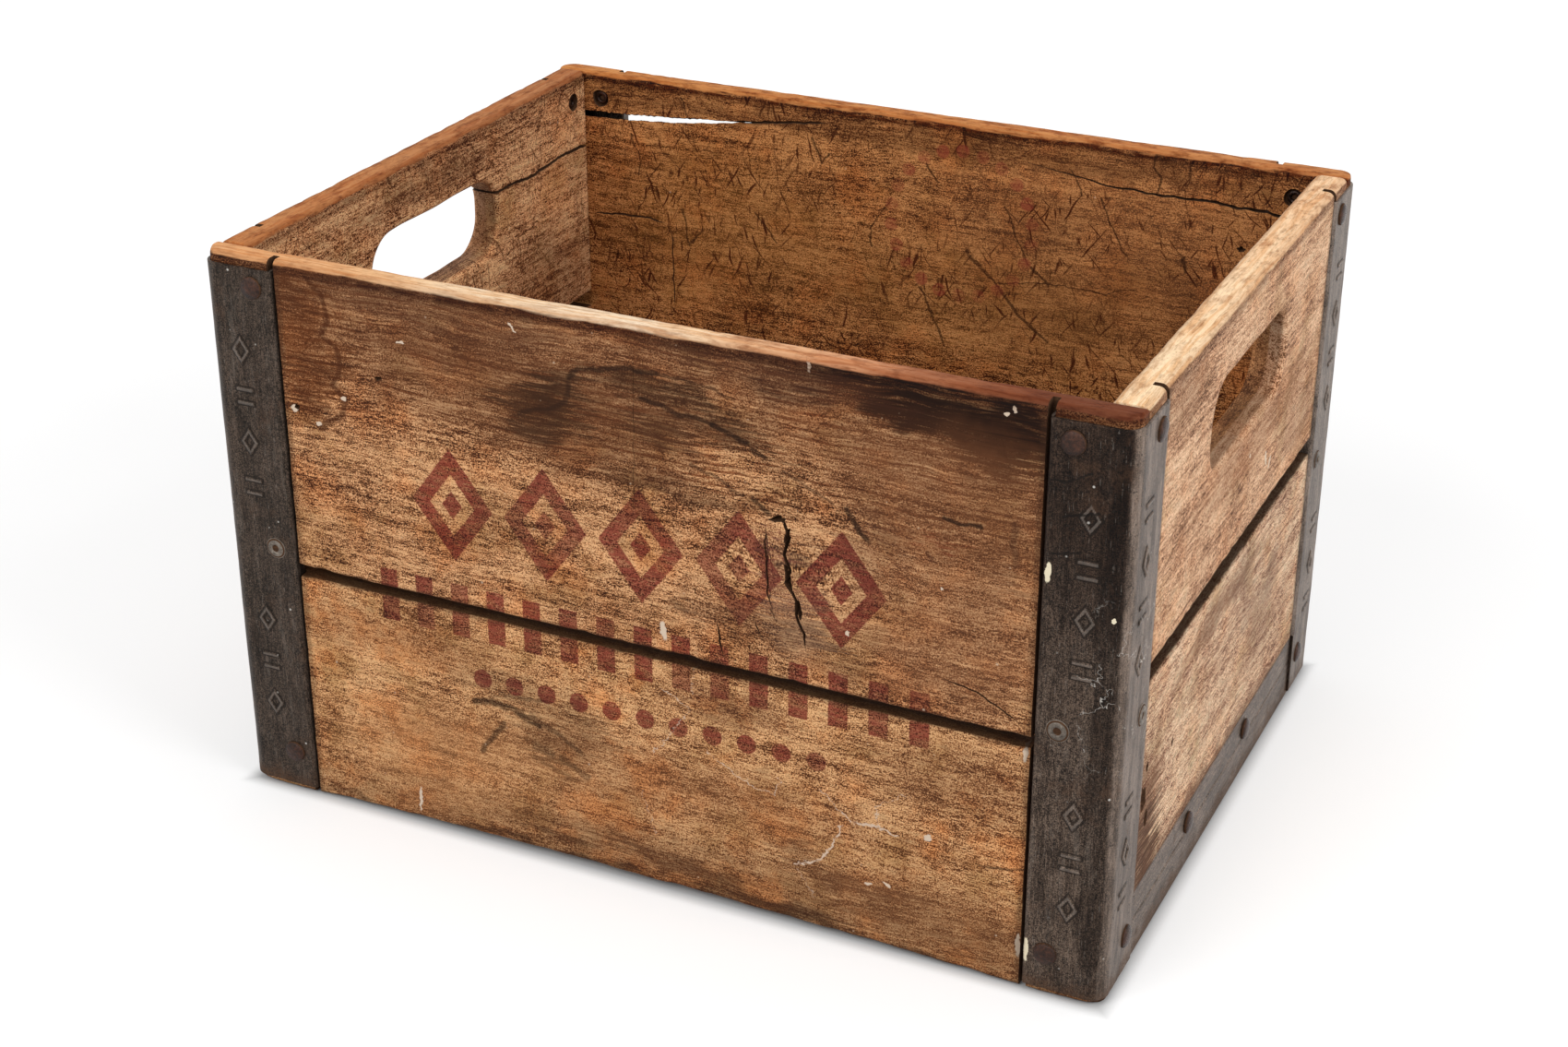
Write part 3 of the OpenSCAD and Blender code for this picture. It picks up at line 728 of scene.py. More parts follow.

        # dark edges: dirt and painted shade along the seams and at a board's foot; dirt beside the steel
        rough_v = b.maths("ADD", v, b.maths("MULTIPLY", b.maths("SUBTRACT", b.noise(b.vector("MULTIPLY", body, (0.08, 0.3, 0.3)), 1.0, 3.0), 0.5), 5.0))
        rough_u = b.maths("ADD", u, b.maths("MULTIPLY", b.maths("SUBTRACT", b.noise(b.vector("MULTIPLY", body, (0.4, 0.12, 0.3)), 1.0, 3.0), 0.5), 5.0))
        ledge = b.both(b.rise(depth, 0.3, 1.2), b.rise(b.maths("SUBTRACT", self.thick, depth), 0.3, 1.2))
        for place in self.edges:
            far = b.maths("ABSOLUTE", b.maths("SUBTRACT", rough_v, place))
            near = b.maths("ABSOLUTE", b.maths("SUBTRACT", v, place))
            colour = b.blend(b.both(b.rise(far, 2.6, 0.2), 0.5), colour, (56, 34, 20))
            colour = b.blend(b.both(b.rise(near, 3.4, 2.4), ledge, 0.85), colour, (50, 32, 19))
        for place in self.kerfs:
            far = b.maths("ABSOLUTE", b.maths("SUBTRACT", rough_u, place))
            colour = b.blend(b.both(b.rise(far, 4.0, 0.6), 0.5, b.maths("SUBTRACT", 1.0, inside)), colour, (60, 38, 24))

        # cut walls inside the board's thickness are darker
        wall = b.both(b.rise(depth, 1.6, 3.4), b.rise(b.maths("SUBTRACT", self.thick, depth), 1.6, 3.4))
        low, high = self.reach()
        walls = b.both(wall, b.span(v, low + 2.2, high - 6.5, 1.0), 0.5)
        colour = b.blend(walls, colour, (78, 50, 31))

        if self.rim:
            worn_z = b.maths("ADD", v, b.maths("MULTIPLY", b.maths("SUBTRACT", b.noise(b.vector("MULTIPLY", body, (0.05, 0.4, 0.4)), 1.0, 3.0), 0.5), self.rim_rag))
            along = b.maths("ADD", u, b.maths("MULTIPLY", b.maths("SUBTRACT", b.noise(body, 0.03, 3.0), 0.5), 70.0))
            half = b.rise(along, -30.0, 60.0)
            bare = b.ramp(b.rise(along, -240.0, 240.0), [((place + 240.0) / 480.0, rgb) for place, rgb in self.rim])
            honey = b.blend(b.both(b.rise(b.noise(b.vector("MULTIPLY", grain, (0.02, 0.5, 0.5)), 1.0, 3.0), 0.40, 0.66), 0.6), bare, b.blend(1.0, bare, (226, 184, 136), "MULTIPLY"))
            streak = b.blend(b.both(b.rise(b.either(lines, fibre), 0.54, 0.72), 0.7), honey, b.blend(1.0, honey, (190, 158, 126), "MULTIPLY"))
            share = b.maths("ADD", b.maths("MULTIPLY", half, self.rim_dirt[1] - self.rim_dirt[0]), self.rim_dirt[0])
            soiled = b.blend(b.both(b.rise(mottle, 0.44, 0.74), share), streak, b.blend(1.0, streak, (150, 112, 78), "MULTIPLY"))
            # the rounded sides browner than the crest: the crest is worn pale, and the sides take painted shade
            off = b.maths("ABSOLUTE", b.maths("SUBTRACT", depth, self.thick * 0.5))
            off = b.maths("ADD", off, b.maths("MULTIPLY", b.maths("SUBTRACT", b.noise(b.vector("MULTIPLY", grain, (0.03, 0.35, 0.35)), 1.0, 3.0, 0.6), 0.5), 4.0))
            soiled = b.blend(b.both(b.rise(off, self.thick * 0.20, self.thick * 0.42), self.rim_side_wear_and_shade), soiled, b.blend(1.0, soiled, (162, 118, 82), "MULTIPLY"))
            below = b.both(b.rise(worn_z, self.rim_z - 6.5, self.rim_z - 1.5), b.rise(mottle, 0.36, 0.54, 0.45, 1.0), self.rim_line)
            colour = b.blend(below, colour, b.blend(1.0, colour, (112, 78, 54), "MULTIPLY"))
            worn = b.rise(b.noise(b.vector("MULTIPLY", body, (0.06, 0.12, 0.12)), 1.0, 4.0, 0.65), 0.54, 0.66)
            soiled = b.blend(b.both(worn, share, 0.6), soiled, b.blend(1.0, soiled, (176, 132, 96), "MULTIPLY"))
            colour = b.blend(b.rise(worn_z, self.rim_z - 0.5, self.rim_z + 0.5), colour, soiled)

        rough = b.maths("ADD", b.maths("MULTIPLY", mottle, 0.22), 0.58)
        height = b.maths("ADD", height, b.maths("MULTIPLY", mottle, 0.25))
        colour = b.blend(1.0, colour, self.tint, "MULTIPLY")
        return b.finish(colour, rough, height, 0.35, shine=0.1, strength=0.6)

    def tones(self, dark: Rgb, mid: Rgb, pale: Rgb) -> list[tuple[float, Rgb]]:
        """Stops for the ramp: the dark and the pale tone are carried 1.7 times as far from the middle one."""
        far = lambda end: tuple(int(min(250, max(8, m + 1.7 * (e - m)))) for m, e in zip(mid, end))
        return [(0.0, far(dark)), (0.46, mid), (1.0, far(pale))]

    def reach(self) -> tuple[float, float]:
        """The lowest and highest place of the board across its grain, from its dark edges."""
        low = min(self.edges) if self.edges else -1e3
        high = HEIGHT if self.rim else (max(self.edges) if self.edges else 1e3)
        return low, high


@dataclass(frozen=True)
class CutWood:
    """The dark walls of kerfs, cracks and rivet recesses: dirt in them, and painted shade; the rivets' hollows and rims
    take it too, as painted shade with dirt.
    """

    name: str
    rgb: Rgb = (54, 36, 24)
    pale: Rgb = (92, 62, 40)

    def make(self) -> bpy.types.Material:
        """Builds the material and returns it."""
        b = Bench(self.name)
        crumbs = b.noise(b.place, 0.6, 5.0, 0.7)
        fibre = b.noise(b.vector("MULTIPLY", b.place, (0.2, 0.9, 0.9)), 1.0, 3.0)
        tone = b.maths("ADD", b.maths("MULTIPLY", crumbs, 0.6), b.maths("MULTIPLY", fibre, 0.5))
        colour = b.ramp(tone, [(0.35, self.rgb), (0.75, self.pale)])
        return b.finish(colour, 0.85, tone, 0.5, shine=0.2)


@dataclass(frozen=True)
class Zinc:
    """Old galvanised sheet steel: dull grey, streaked along its length, pitted, with rust at its edges."""

    name: str
    dark: Rgb = (58, 55, 52)
    pale: Rgb = (104, 100, 96)
    along_z: bool = True
    soot_and_shade: bool = False  # painted reflection shade: the front legs darker towards the top and beside the bend
    end_leg_painted_light: float = 0.0  # painted light: how much paler the legs on the ends are made
    webs: bool = False
    chips: tuple[Fleck, ...] = ()  # old cream paint on the front leg

    def make(self) -> bpy.types.Material:
        """Builds the material and returns it."""
        b = Bench(self.name)
        stretch = (0.9, 0.9, 0.05) if self.along_z else (0.9, 0.05, 0.6)
        streak = b.noise(b.vector("MULTIPLY", b.place, stretch), 1.0, 4.0, 0.62)
        brush = b.noise(b.vector("MULTIPLY", b.place, tuple(3.0 * k for k in stretch)), 1.0, 2.0, 0.6)
        cloud = b.noise(b.place, 0.03, 4.0, 0.6)
        grit = b.noise(b.place, 0.9, 4.0, 0.72)
        spangle = b.cells(b.place, 0.16)
        tone = b.maths("ADD", b.maths("MULTIPLY", b.maths("SUBTRACT", streak, 0.5), 0.7), 0.48)
        fine = b.noise(b.place, 2.1, 2.0, 0.6)
        for part, gain in ((brush, 1.4), (cloud, 1.0), (grit, 1.9), (fine, 2.8)):
            tone = b.maths("ADD", tone, b.maths("MULTIPLY", b.maths("SUBTRACT", part, 0.5), gain))
        tone = b.maths("ADD", tone, b.maths("MULTIPLY", b.maths("SUBTRACT", spangle, 0.4), 0.10))
        colour = b.ramp(tone, [(0.0, tuple(int(0.6 * k) for k in self.dark)), (0.5, tuple(int(0.5 * (p + q)) for p, q in zip(self.dark, self.pale))), (1.0, tuple(int(1.15 * k) for k in self.pale))])
        smear = b.noise(b.vector("MULTIPLY", b.place, tuple(0.22 * k + 0.02 for k in stretch)), 1.0, 5.0, 0.7)
        colour = b.blend(b.both(b.rise(smear, 0.50, 0.64), 0.45), colour, b.blend(1.0, colour, (140, 126, 116), "MULTIPLY"))
        colour = b.blend(b.both(b.rise(smear, 0.45, 0.36), 0.3), colour, b.blend(0.35, colour, (150, 140, 130)))
        across = b.maths("ABSOLUTE", b.y)
        end_leg = b.rise(across, HALF_W + 0.4, HALF_W - 1.4)
        # painted light: the legs on the ends are made paler, where the light from the side falls on them
        if self.end_leg_painted_light:
            colour = b.blend(b.both(end_leg, b.rise(smear, 0.34, 0.60, 1.0, 0.25), self.end_leg_painted_light), colour, b.blend(0.5, colour, (182, 162, 148)))
        # painted reflection shade on the front legs: darker towards the top and beside the bend
        if self.soot_and_shade:
            high = b.rise(b.maths("ADD", b.z, b.maths("MULTIPLY", b.maths("SUBTRACT", cloud, 0.5), 120.0)), 120.0, 235.0)
            front_leg = b.maths("SUBTRACT", 1.0, end_leg)
            colour = b.blend(b.both(high, front_leg, 0.8), colour, b.blend(1.0, colour, (118, 95, 82), "MULTIPLY"))
            by_bend = b.rise(b.maths("ADD", b.x, b.maths("MULTIPLY", b.maths("SUBTRACT", smear, 0.5), 22.0)), HALF_L - 15.0, HALF_L - 7.0)
            colour = b.blend(b.both(by_bend, front_leg, b.rise(cloud, 0.36, 0.56, 0.4, 1.0), 0.75), colour, b.blend(1.0, colour, (104, 88, 78), "MULTIPLY"))
        pits = b.rise(b.noise(b.place, 0.42, 3.0, 0.6), 0.63, 0.70)
        colour = b.blend(b.both(pits, 0.8), colour, (30, 25, 21))
        specks = b.rise(b.noise(b.vector("MULTIPLY", b.place, (1.2, 1.2, 0.7)), 1.0, 2.0, 0.6), 0.63, 0.70)
        colour = b.blend(b.both(specks, 0.75), colour, (24, 20, 17))
        hair = b.rise(b.noise(b.vector("MULTIPLY", b.place, tuple(2.6 * k for k in stretch)), 1.0, 1.0), 0.66, 0.74)
        colour = b.blend(b.both(hair, b.rise(grit, 0.4, 0.6), 0.5), colour, (132, 124, 116))
        mark = b.tree.nodes.new("ShaderNodeAttribute")
        mark.attribute_name = "pressed"
        # dirt and painted shade in the ring round each pressed mark, and a painted highlight on its top
        colour = b.blend(b.both(b.rise(mark.outputs["Fac"], -0.05, -0.5), b.rise(grit, 0.34, 0.54, 0.35, 1.0), 0.8), colour, (26, 20, 16))
        colour = b.blend(b.both(b.rise(mark.outputs["Fac"], 0.35, 0.9), 0.4), colour, b.blend(0.5, colour, (168, 156, 146)))
        # rust and old brown dirt creep in from the foot and lie in faint clouds
        foot = b.rise(b.maths("ADD", b.z, b.maths("MULTIPLY", b.maths("SUBTRACT", b.noise(b.place, 0.09, 4.0), 0.5), 26.0)), 14.0, 1.0)
        patch = b.rise(b.noise(b.place, 0.05, 5.0, 0.68), 0.56, 0.70)
        rust = b.both(b.either(b.both(foot, 0.75), b.both(patch, 0.34)), b.rise(grit, 0.36, 0.56, 0.3, 1.0))
        colour = b.blend(rust, colour, (84, 58, 40))
        scrapes = b.both(b.rise(b.noise(b.vector("MULTIPLY", b.place, (0.05, 0.05, 1.8)), 1.0, 1.0), 0.70, 0.75), b.rise(b.noise(b.place, 0.04, 2.0), 0.5, 0.6), 0.5)
        colour = b.blend(scrapes, colour, (36, 32, 30))
        bright = b.both(b.rise(b.cells(b.place, 0.11), 0.085, 0.035), b.rise(b.noise(b.place, 0.05, 2.0), 0.48, 0.58))
        colour = b.blend(b.both(bright, 0.75), colour, (205, 200, 192))
        if self.webs:
            tangle = b.vector("ADD", b.place, b.vector("MULTIPLY", b.vector("SUBTRACT", b.noise(b.place, 0.07, 4.0, 0.65, colour=True), (0.5, 0.5, 0.5)), (22.0, 22.0, 22.0)))
            thread = b.rise(b.cells(tangle, 0.05, edges=True), 0.010, 0.003)
            zone = b.both(b.span(b.z, 120.0, 190.0, 16.0), b.rise(b.x, HALF_L - 22.0, HALF_L - 12.0))
            colour = b.blend(b.both(thread, zone, b.rise(b.noise(b.place, 0.08, 3.0), 0.48, 0.58), 0.65), colour, (206, 200, 192))
        shaky = b.vector("ADD", b.triple(b.x, b.z, 0.0), b.vector("MULTIPLY", b.vector("SUBTRACT", b.noise(b.place, 0.5, 2.0, colour=True), (0.5, 0.5, 0.5)), (2.0, 2.0, 0.0)))
        if self.chips:
            for path in (((184.6, 246.7), (193, 247), (203.2, 252.5)), ((188.3, 214.4), (200.6, 217.5)), ((192, 231.7), (207, 236.1))):
                colour = b.blend(b.both(b.rise(b.stroke(shaky, path), 0.8, 0.3), b.rise(b.y, 0.0, -1.0), 0.8), colour, (20, 15, 12))
        for chip in self.chips:
            colour = b.blend(b.both(b.rise(b.spot(shaky, chip.centre, chip.radii, chip.turn), 1.1, 0.9), b.rise(b.y, 0.0, -1.0)), colour, (226, 214, 186))
        rough = b.maths("ADD", b.maths("MULTIPLY", grit, 0.25), b.maths("ADD", 0.34, b.maths("MULTIPLY", rust, 0.3)))
        height = b.maths("SUBTRACT", b.maths("ADD", b.maths("MULTIPLY", grit, 0.5), b.maths("MULTIPLY", streak, 0.3)), b.maths("MULTIPLY", pits, 0.5))
        metal = b.maths("SUBTRACT", 0.6, b.maths("MULTIPLY", rust, 0.5))
        return b.finish(colour, rough, height, 0.22, metal=metal, shine=0.2, strength=0.7)


@dataclass(frozen=True)
class Rust:
    """Brown rusted steel of rivets and nails."""

    name: str
    dark: Rgb = (46, 32, 25)
    mid: Rgb = (92, 60, 43)
    bright: Rgb = (128, 74, 48)
    gloss: float = 0.0  # how much smoother than raw rust

    def make(self) -> bpy.types.Material:
        """Builds the material and returns it."""
        b = Bench(self.name)
        crust = b.noise(b.place, 0.7, 5.0, 0.7)
        cloud = b.noise(b.place, 0.12, 3.0)
        tone = b.maths("ADD", b.maths("MULTIPLY", crust, 0.7), b.maths("MULTIPLY", cloud, 0.4))
        colour = b.ramp(tone, [(0.38, self.dark), (0.56, self.mid), (0.74, self.bright)])
        rough = b.maths("ADD", b.maths("MULTIPLY", crust, 0.3), 0.45 - self.gloss)
        return b.finish(colour, rough, crust, 0.4, metal=0.3 + self.gloss, shine=0.4)


# ---------------------------------------------------------------- boards

@dataclass
class Board:
    """One plank: a rounded rectangle carried along the grain, its faces uneven and its edges worn."""

    node: str
    facing: Facing
    start: float
    length: float
    thick: float
    low: float
    width: float
    finish: bpy.types.Material
    seed: int
    slot: str
    low_round: float = 1.3
    top_round: float = 1.3
    wrap: float = 0.0  # radius of the outer upright edge at both ends
    pitch: float = 2.0
    uneven: float = 0.35
    low_bites: float = 0.7
    top_bites: float = 0.7
    bow: float = 0.0  # how far the low edge stands up in its middle
    knot: tuple[float, float, float] | None = None
    cuts: list[tuple[Skin, bpy.types.Material]] = field(default_factory=list)

    def stations(self) -> np.ndarray:
        """Places along the grain from the board's end: by squared steps within 8 mm of each end, evenly between."""
        near = 8.0 * np.linspace(0, 1, 12) ** 2
        mid = np.linspace(8, self.length - 8, int((self.length - 16) / self.pitch) + 2)
        return np.concatenate([near[:-1], mid, self.length - near[:-1][::-1]])

    def rings(self) -> np.ndarray:
        """The board's cross-sections.

        Returns:
            Points as (stations, points, 3). Each ring is four arcs with straight runs between them; the four edges
            stand back at the ends by a quarter round, the outer one by the steel's bend, and every edge wanders and
            is bitten by its own seeded line. Both faces then sink by a swell of up to the board's unevenness.
        """
        along = self.stations()
        d = np.minimum(along, self.length - along)
        s = along + self.start
        back = quarter(d, 0.9)
        t0 = np.maximum(quarter(d, self.wrap), back) if self.wrap else back
        t1 = self.thick - back
        k = self.seed * 10
        w0 = self.low + back + 0.3 * (1 + wander(s, k, (80, 30, 8))) * 0.5 + bites(s, k + 1, 22, self.low_bites, 5.0)
        w0 = w0 + self.bow * np.sin(np.pi * np.clip((along - 38.0) / (self.length - 76.0), 0, 1) ** 0.8) ** 0.7
        w1 = self.low + self.width - back - 0.2 * (1 + wander(s, k + 2, (110, 45, 12))) * 0.5 - bites(s, k + 3, 22, self.top_bites, 5.0)
        room = 0.46 * (t1 - t0)
        radii = [
            np.minimum(self.low_round * (1.15 + 0.3 * wander(s, k + 4)) + bites(s, k + 8, 12, 1.0, 5.0), room),
            np.minimum(self.low_round * (1.1 + 0.3 * wander(s, k + 5)), room),
            np.minimum(self.top_round * (1.0 + 0.10 * wander(s, k + 6)) + bites(s, k + 9, 10, 0.8, 6.0), room),
            np.minimum(self.top_round * (1.0 + 0.10 * wander(s, k + 7)) + bites(s, k + 10, 12, 0.8, 6.0), room),
        ]
        corners = ((t0, w0, 1, 1, 180), (t1, w0, -1, 1, 270), (t1, w1, -1, -1, 0), (t0, w1, 1, -1, 90))
        arcs = []
        for r, (ct, cw, st, sw, first) in zip(radii, corners):
            a = np.radians(first + np.linspace(0, 90, 6))[None]
            arcs.append(np.stack([(ct + st * r)[:, None] + r[:, None] * np.cos(a), (cw + sw * r)[:, None] + r[:, None] * np.sin(a)], -1))
        tall = max(4, int(self.width / 3.0))
        parts = []
        for i, count in enumerate((4, tall, 4, tall)):
            a, z = arcs[i][:, -1:], arcs[(i + 1) % 4][:, :1]
            f = np.linspace(0, 1, count + 2)[1:-1][None, :, None]
            parts += [arcs[i], a * (1 - f) + z * f]
        ring = np.concatenate(parts, axis=1)
        t, w = ring[..., 0], ring[..., 1]
        side = np.clip(1 - 2 * (t - t0[:, None]) / (t1 - t0)[:, None], -1, 1)
        outer_dip = 0.5 + 0.5 * swells(s[:, None], 2.2 * w, k + 11)
        inner_dip = 0.5 + 0.5 * swells(s[:, None], 2.2 * w, k + 12)
        t = t + self.uneven * np.where(side > 0, side * outer_dip, side * inner_dip)
        if self.knot:
            ks, kw, high = self.knot
            near = ((s[:, None] - ks) / 15.0) ** 2 + ((w - kw) / 26.0) ** 2
            t = t - high * np.maximum(side, 0) * np.exp(-near) * (1 + 0.35 * swells(s[:, None], w, k + 13, (11, 6), (1, 0.7)))
        return self.facing.put(s[:, None], t, w)

    def build(self) -> bpy.types.Object:
        """Skins the board, names it after its node, carves its cuts, fixes it to the crate's body and hides the CAD
        node.
        """
        piece = mesh_object("board_" + self.node, loft(self.rings()), self.finish)
        if self.cuts:
            carve(piece, self.cuts)
        soften(piece)
        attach(piece, "root")
        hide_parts(self.node)
        LOG.info("%s: %d faces", piece.name, len(piece.data.polygons))
        return piece


@dataclass(frozen=True)
class Cutter:
    """Shapes that are cut out of one side's boards, in the board's own lengths."""

    facing: Facing
    thick: float

    def kerf(self, near: float, far: float, low: float, high: float, seed: int) -> Skin:
        """A rough saw kerf across the grain: a box whose two walls wander along its length."""
        w = np.linspace(low, high, int((high - low) / 3) + 2)[:, None]
        wave = 0.16 * wander(w, seed, (40, 11, 5)), 0.22 * wander(w, seed + 1, (50, 13, 6))
        s = np.concatenate([near + wave[0], far + wave[1], far + wave[1], near + wave[0]], 1)
        t = np.array([[-4.0, -4.0, KERF_D, KERF_D]]) + 0 * w
        return loft(self.facing.put(s, t, w + 0 * t))

    def split(self, path: np.ndarray, seed: int, tilt: float = 0.0) -> Skin:
        """A split through the board.

        Args:
            path: Rows of (along the grain, height at the inner face, width), in mm.
            seed: Which splinters.
            tilt: How far it falls towards the outer face, in degrees.
        Returns:
            The skin: the path is sampled finely, given ragged upper and lower lips by short wander, and carried
            through the board with the fall of the tilt.
        """
        s = np.linspace(path[0, 0], path[-1, 0], int(abs(path[-1, 0] - path[0, 0]) / 1.6) + 2)
        order = np.argsort(path[:, 0])
        mid = np.interp(s, path[order, 0], path[order, 1])
        wide = np.interp(s, path[order, 0], path[order, 2])
        t = np.linspace(-4, self.thick + 4, 9)[:, None]
        fall = -np.tan(np.radians(tilt)) * (self.thick - t)
        shake = 0.5 * wander(s, seed, (26, 9, 4))[None] + 0.25 * wander(s[None] + 3 * t, seed + 1, (14, 6), (1, 0.6))
        tip = np.clip(wide, 0.03, 9.0)
        up = mid + fall + shake * np.minimum(1, tip) + 0.5 * tip * (1 + 0.25 * wander(s[None] + t, seed + 2, (9, 4), (1, 0.6)))
        down = mid + fall + shake * np.minimum(1, tip) - 0.5 * tip * (1 + 0.25 * wander(s[None] - t, seed + 3, (9, 4), (1, 0.6)))
        ring_s = np.concatenate([s, s[::-1]])[None] + 0 * t
        ring_w = np.concatenate([up, down[:, ::-1]], 1)
        return loft(self.facing.put(ring_s, t + 0 * ring_s, ring_w))

    def groove(self, path: Sequence[tuple[float, float]], width: float, deep: float, inner: bool = False) -> Skin:
        """A hairline crack in one face: a narrow wedge carried along a path of (along the grain, height)."""
        p = np.asarray(path, float)
        run = np.concatenate([[0], np.cumsum(np.hypot(*np.diff(p, axis=0).T))])
        r = np.linspace(0, run[-1], int(run[-1] / 1.2) + 3)
        seed = int(run[-1] * 10)
        s = np.interp(r, run, p[:, 0]) + 0.35 * wander(r, seed, (12, 5), (1, 0.6))
        w = np.interp(r, run, p[:, 1]) + 0.35 * wander(r, seed + 1, (12, 5), (1, 0.6))
        ds, dw = np.gradient(s), np.gradient(w)
        size = np.hypot(ds, dw)
        ns, nw = -dw / size, ds / size
        fade = np.clip(np.minimum(r, run[-1] - r) / 8.0, 0.15, 1) * 0.5 * width
        level = np.stack([np.full_like(r, -1.5), np.full_like(r, -1.5), deep * (0.3 + 0.7 * fade / fade.max())], 1)
        side = np.stack([2.2 * fade, -2.2 * fade, 0 * fade], 1)
        t = self.thick - level if inner else level
        return loft(self.facing.put(s[:, None] + side * ns[:, None], t, w[:, None] + side * nw[:, None]))

    def recess(self, s0: float, w0: float, seed: int) -> Skin:
        """The ragged round hollow at a rivet's inner end: a circle with a wandering radius, wider at the face."""
        a = np.linspace(0, 2 * np.pi, 33)[:-1][None]
        t = np.linspace(self.thick - 2.5, self.thick + 3, 5)[:, None]
        r = 4.5 + 0.14 * (t - self.thick + 2.5) + 0.3 * wander(a * 9, seed, (57 / 3, 57 / 5, 57 / 9))
        return loft(self.facing.put(s0 + r * np.cos(a), t + 0 * a, w0 + r * np.sin(a)))

    def pit(self, s0: float, w0: float, half: tuple[float, float], deep: float, turn: float, seed: int, inner: bool = False) -> Skin:
        """A jagged pit: an ellipse with a ragged outline that closes to a point below the face."""
        a = np.linspace(0, 2 * np.pi, 29)[:-1][None]
        h = np.linspace(0, 1, 6)[:, None]
        shrink = np.where(h == 0, 1.3, 1 - h ** 2 * 0.96)
        r = (1 + 0.28 * wander(a * 9, seed, (57 / 4, 57 / 7, 57 / 11))) * shrink
        e, n = half[0] * r * np.cos(a), half[1] * r * np.sin(a)
        c, g = np.cos(np.radians(turn)), np.sin(np.radians(turn))
        t = np.where(h == 0, -2.0, deep * h) + 0 * a
        t = self.thick - t if inner else t
        return loft(self.facing.put(s0 + c * e - g * n, t, w0 + g * e + c * n))

    def handhold(self, seed: int) -> Skin:
        """The handhold: a round-cornered slot whose outline opens by a worn quarter round at both faces."""
        t = np.concatenate([[-3.0], np.linspace(0, 3.2, 8), np.linspace(5, self.thick - 5, 4), np.linspace(self.thick - 3.2, self.thick, 8), [self.thick + 3.0]])[:, None]
        near = np.minimum(t, self.thick - t)
        open_by = quarter(np.clip(near, 0, 3.2) + 0.12, 3.2) + np.where(near < 0, 1.2, 0)
        a = np.radians(np.linspace(0, 90, 12))[None]
        hs, hw = HAND_L / 2 - HAND_R, HAND_H / 2 - HAND_R
        parts_s, parts_w = [], []
        for k, (es, ew) in enumerate(((1, 1), (-1, 1), (-1, -1), (1, -1))):
            b = a + k * np.pi / 2
            parts_s.append(es * hs + (HAND_R + open_by) * np.cos(b))
            parts_w.append(ew * hw + (HAND_R + open_by) * np.sin(b))
            nxt = ((1, 1), (-1, 1), (-1, -1), (1, -1))[(k + 1) % 4]
            end = b[0, -1]
            f = np.linspace(0, 1, 22 if k % 2 == 0 else 4)[1:-1][None]
            parts_s.append(es * hs * (1 - f) + nxt[0] * hs * f + (HAND_R + open_by) * np.cos(end))
            parts_w.append(ew * hw * (1 - f) + nxt[1] * hw * f + (HAND_R + open_by) * np.sin(end))
        s, w = np.concatenate(parts_s, 1), np.concatenate(parts_w, 1)
        worn = 0.35 * swells(s + 2 * t, w, seed, (45, 20), (1, 0.5))
        s, w = s + worn * np.sign(s), w + worn * np.sign(w)
        return loft(self.facing.put(s, t + 0 * s, w + HAND_Z))

    def rebate(self) -> Skin:
        """The shallow step at the foot of an end board that takes the steel strip."""
        s = np.array([[-170.0, 170.0, 170.0, -170.0]])
        w = np.array([[8.0, 8.0, STRIP_H + 0.3, STRIP_H + 0.3]])
        t = np.array([[-3.0], [STEEL_T]])
        return loft(self.facing.put(s + 0 * t, t + 0 * s, w + 0 * t))


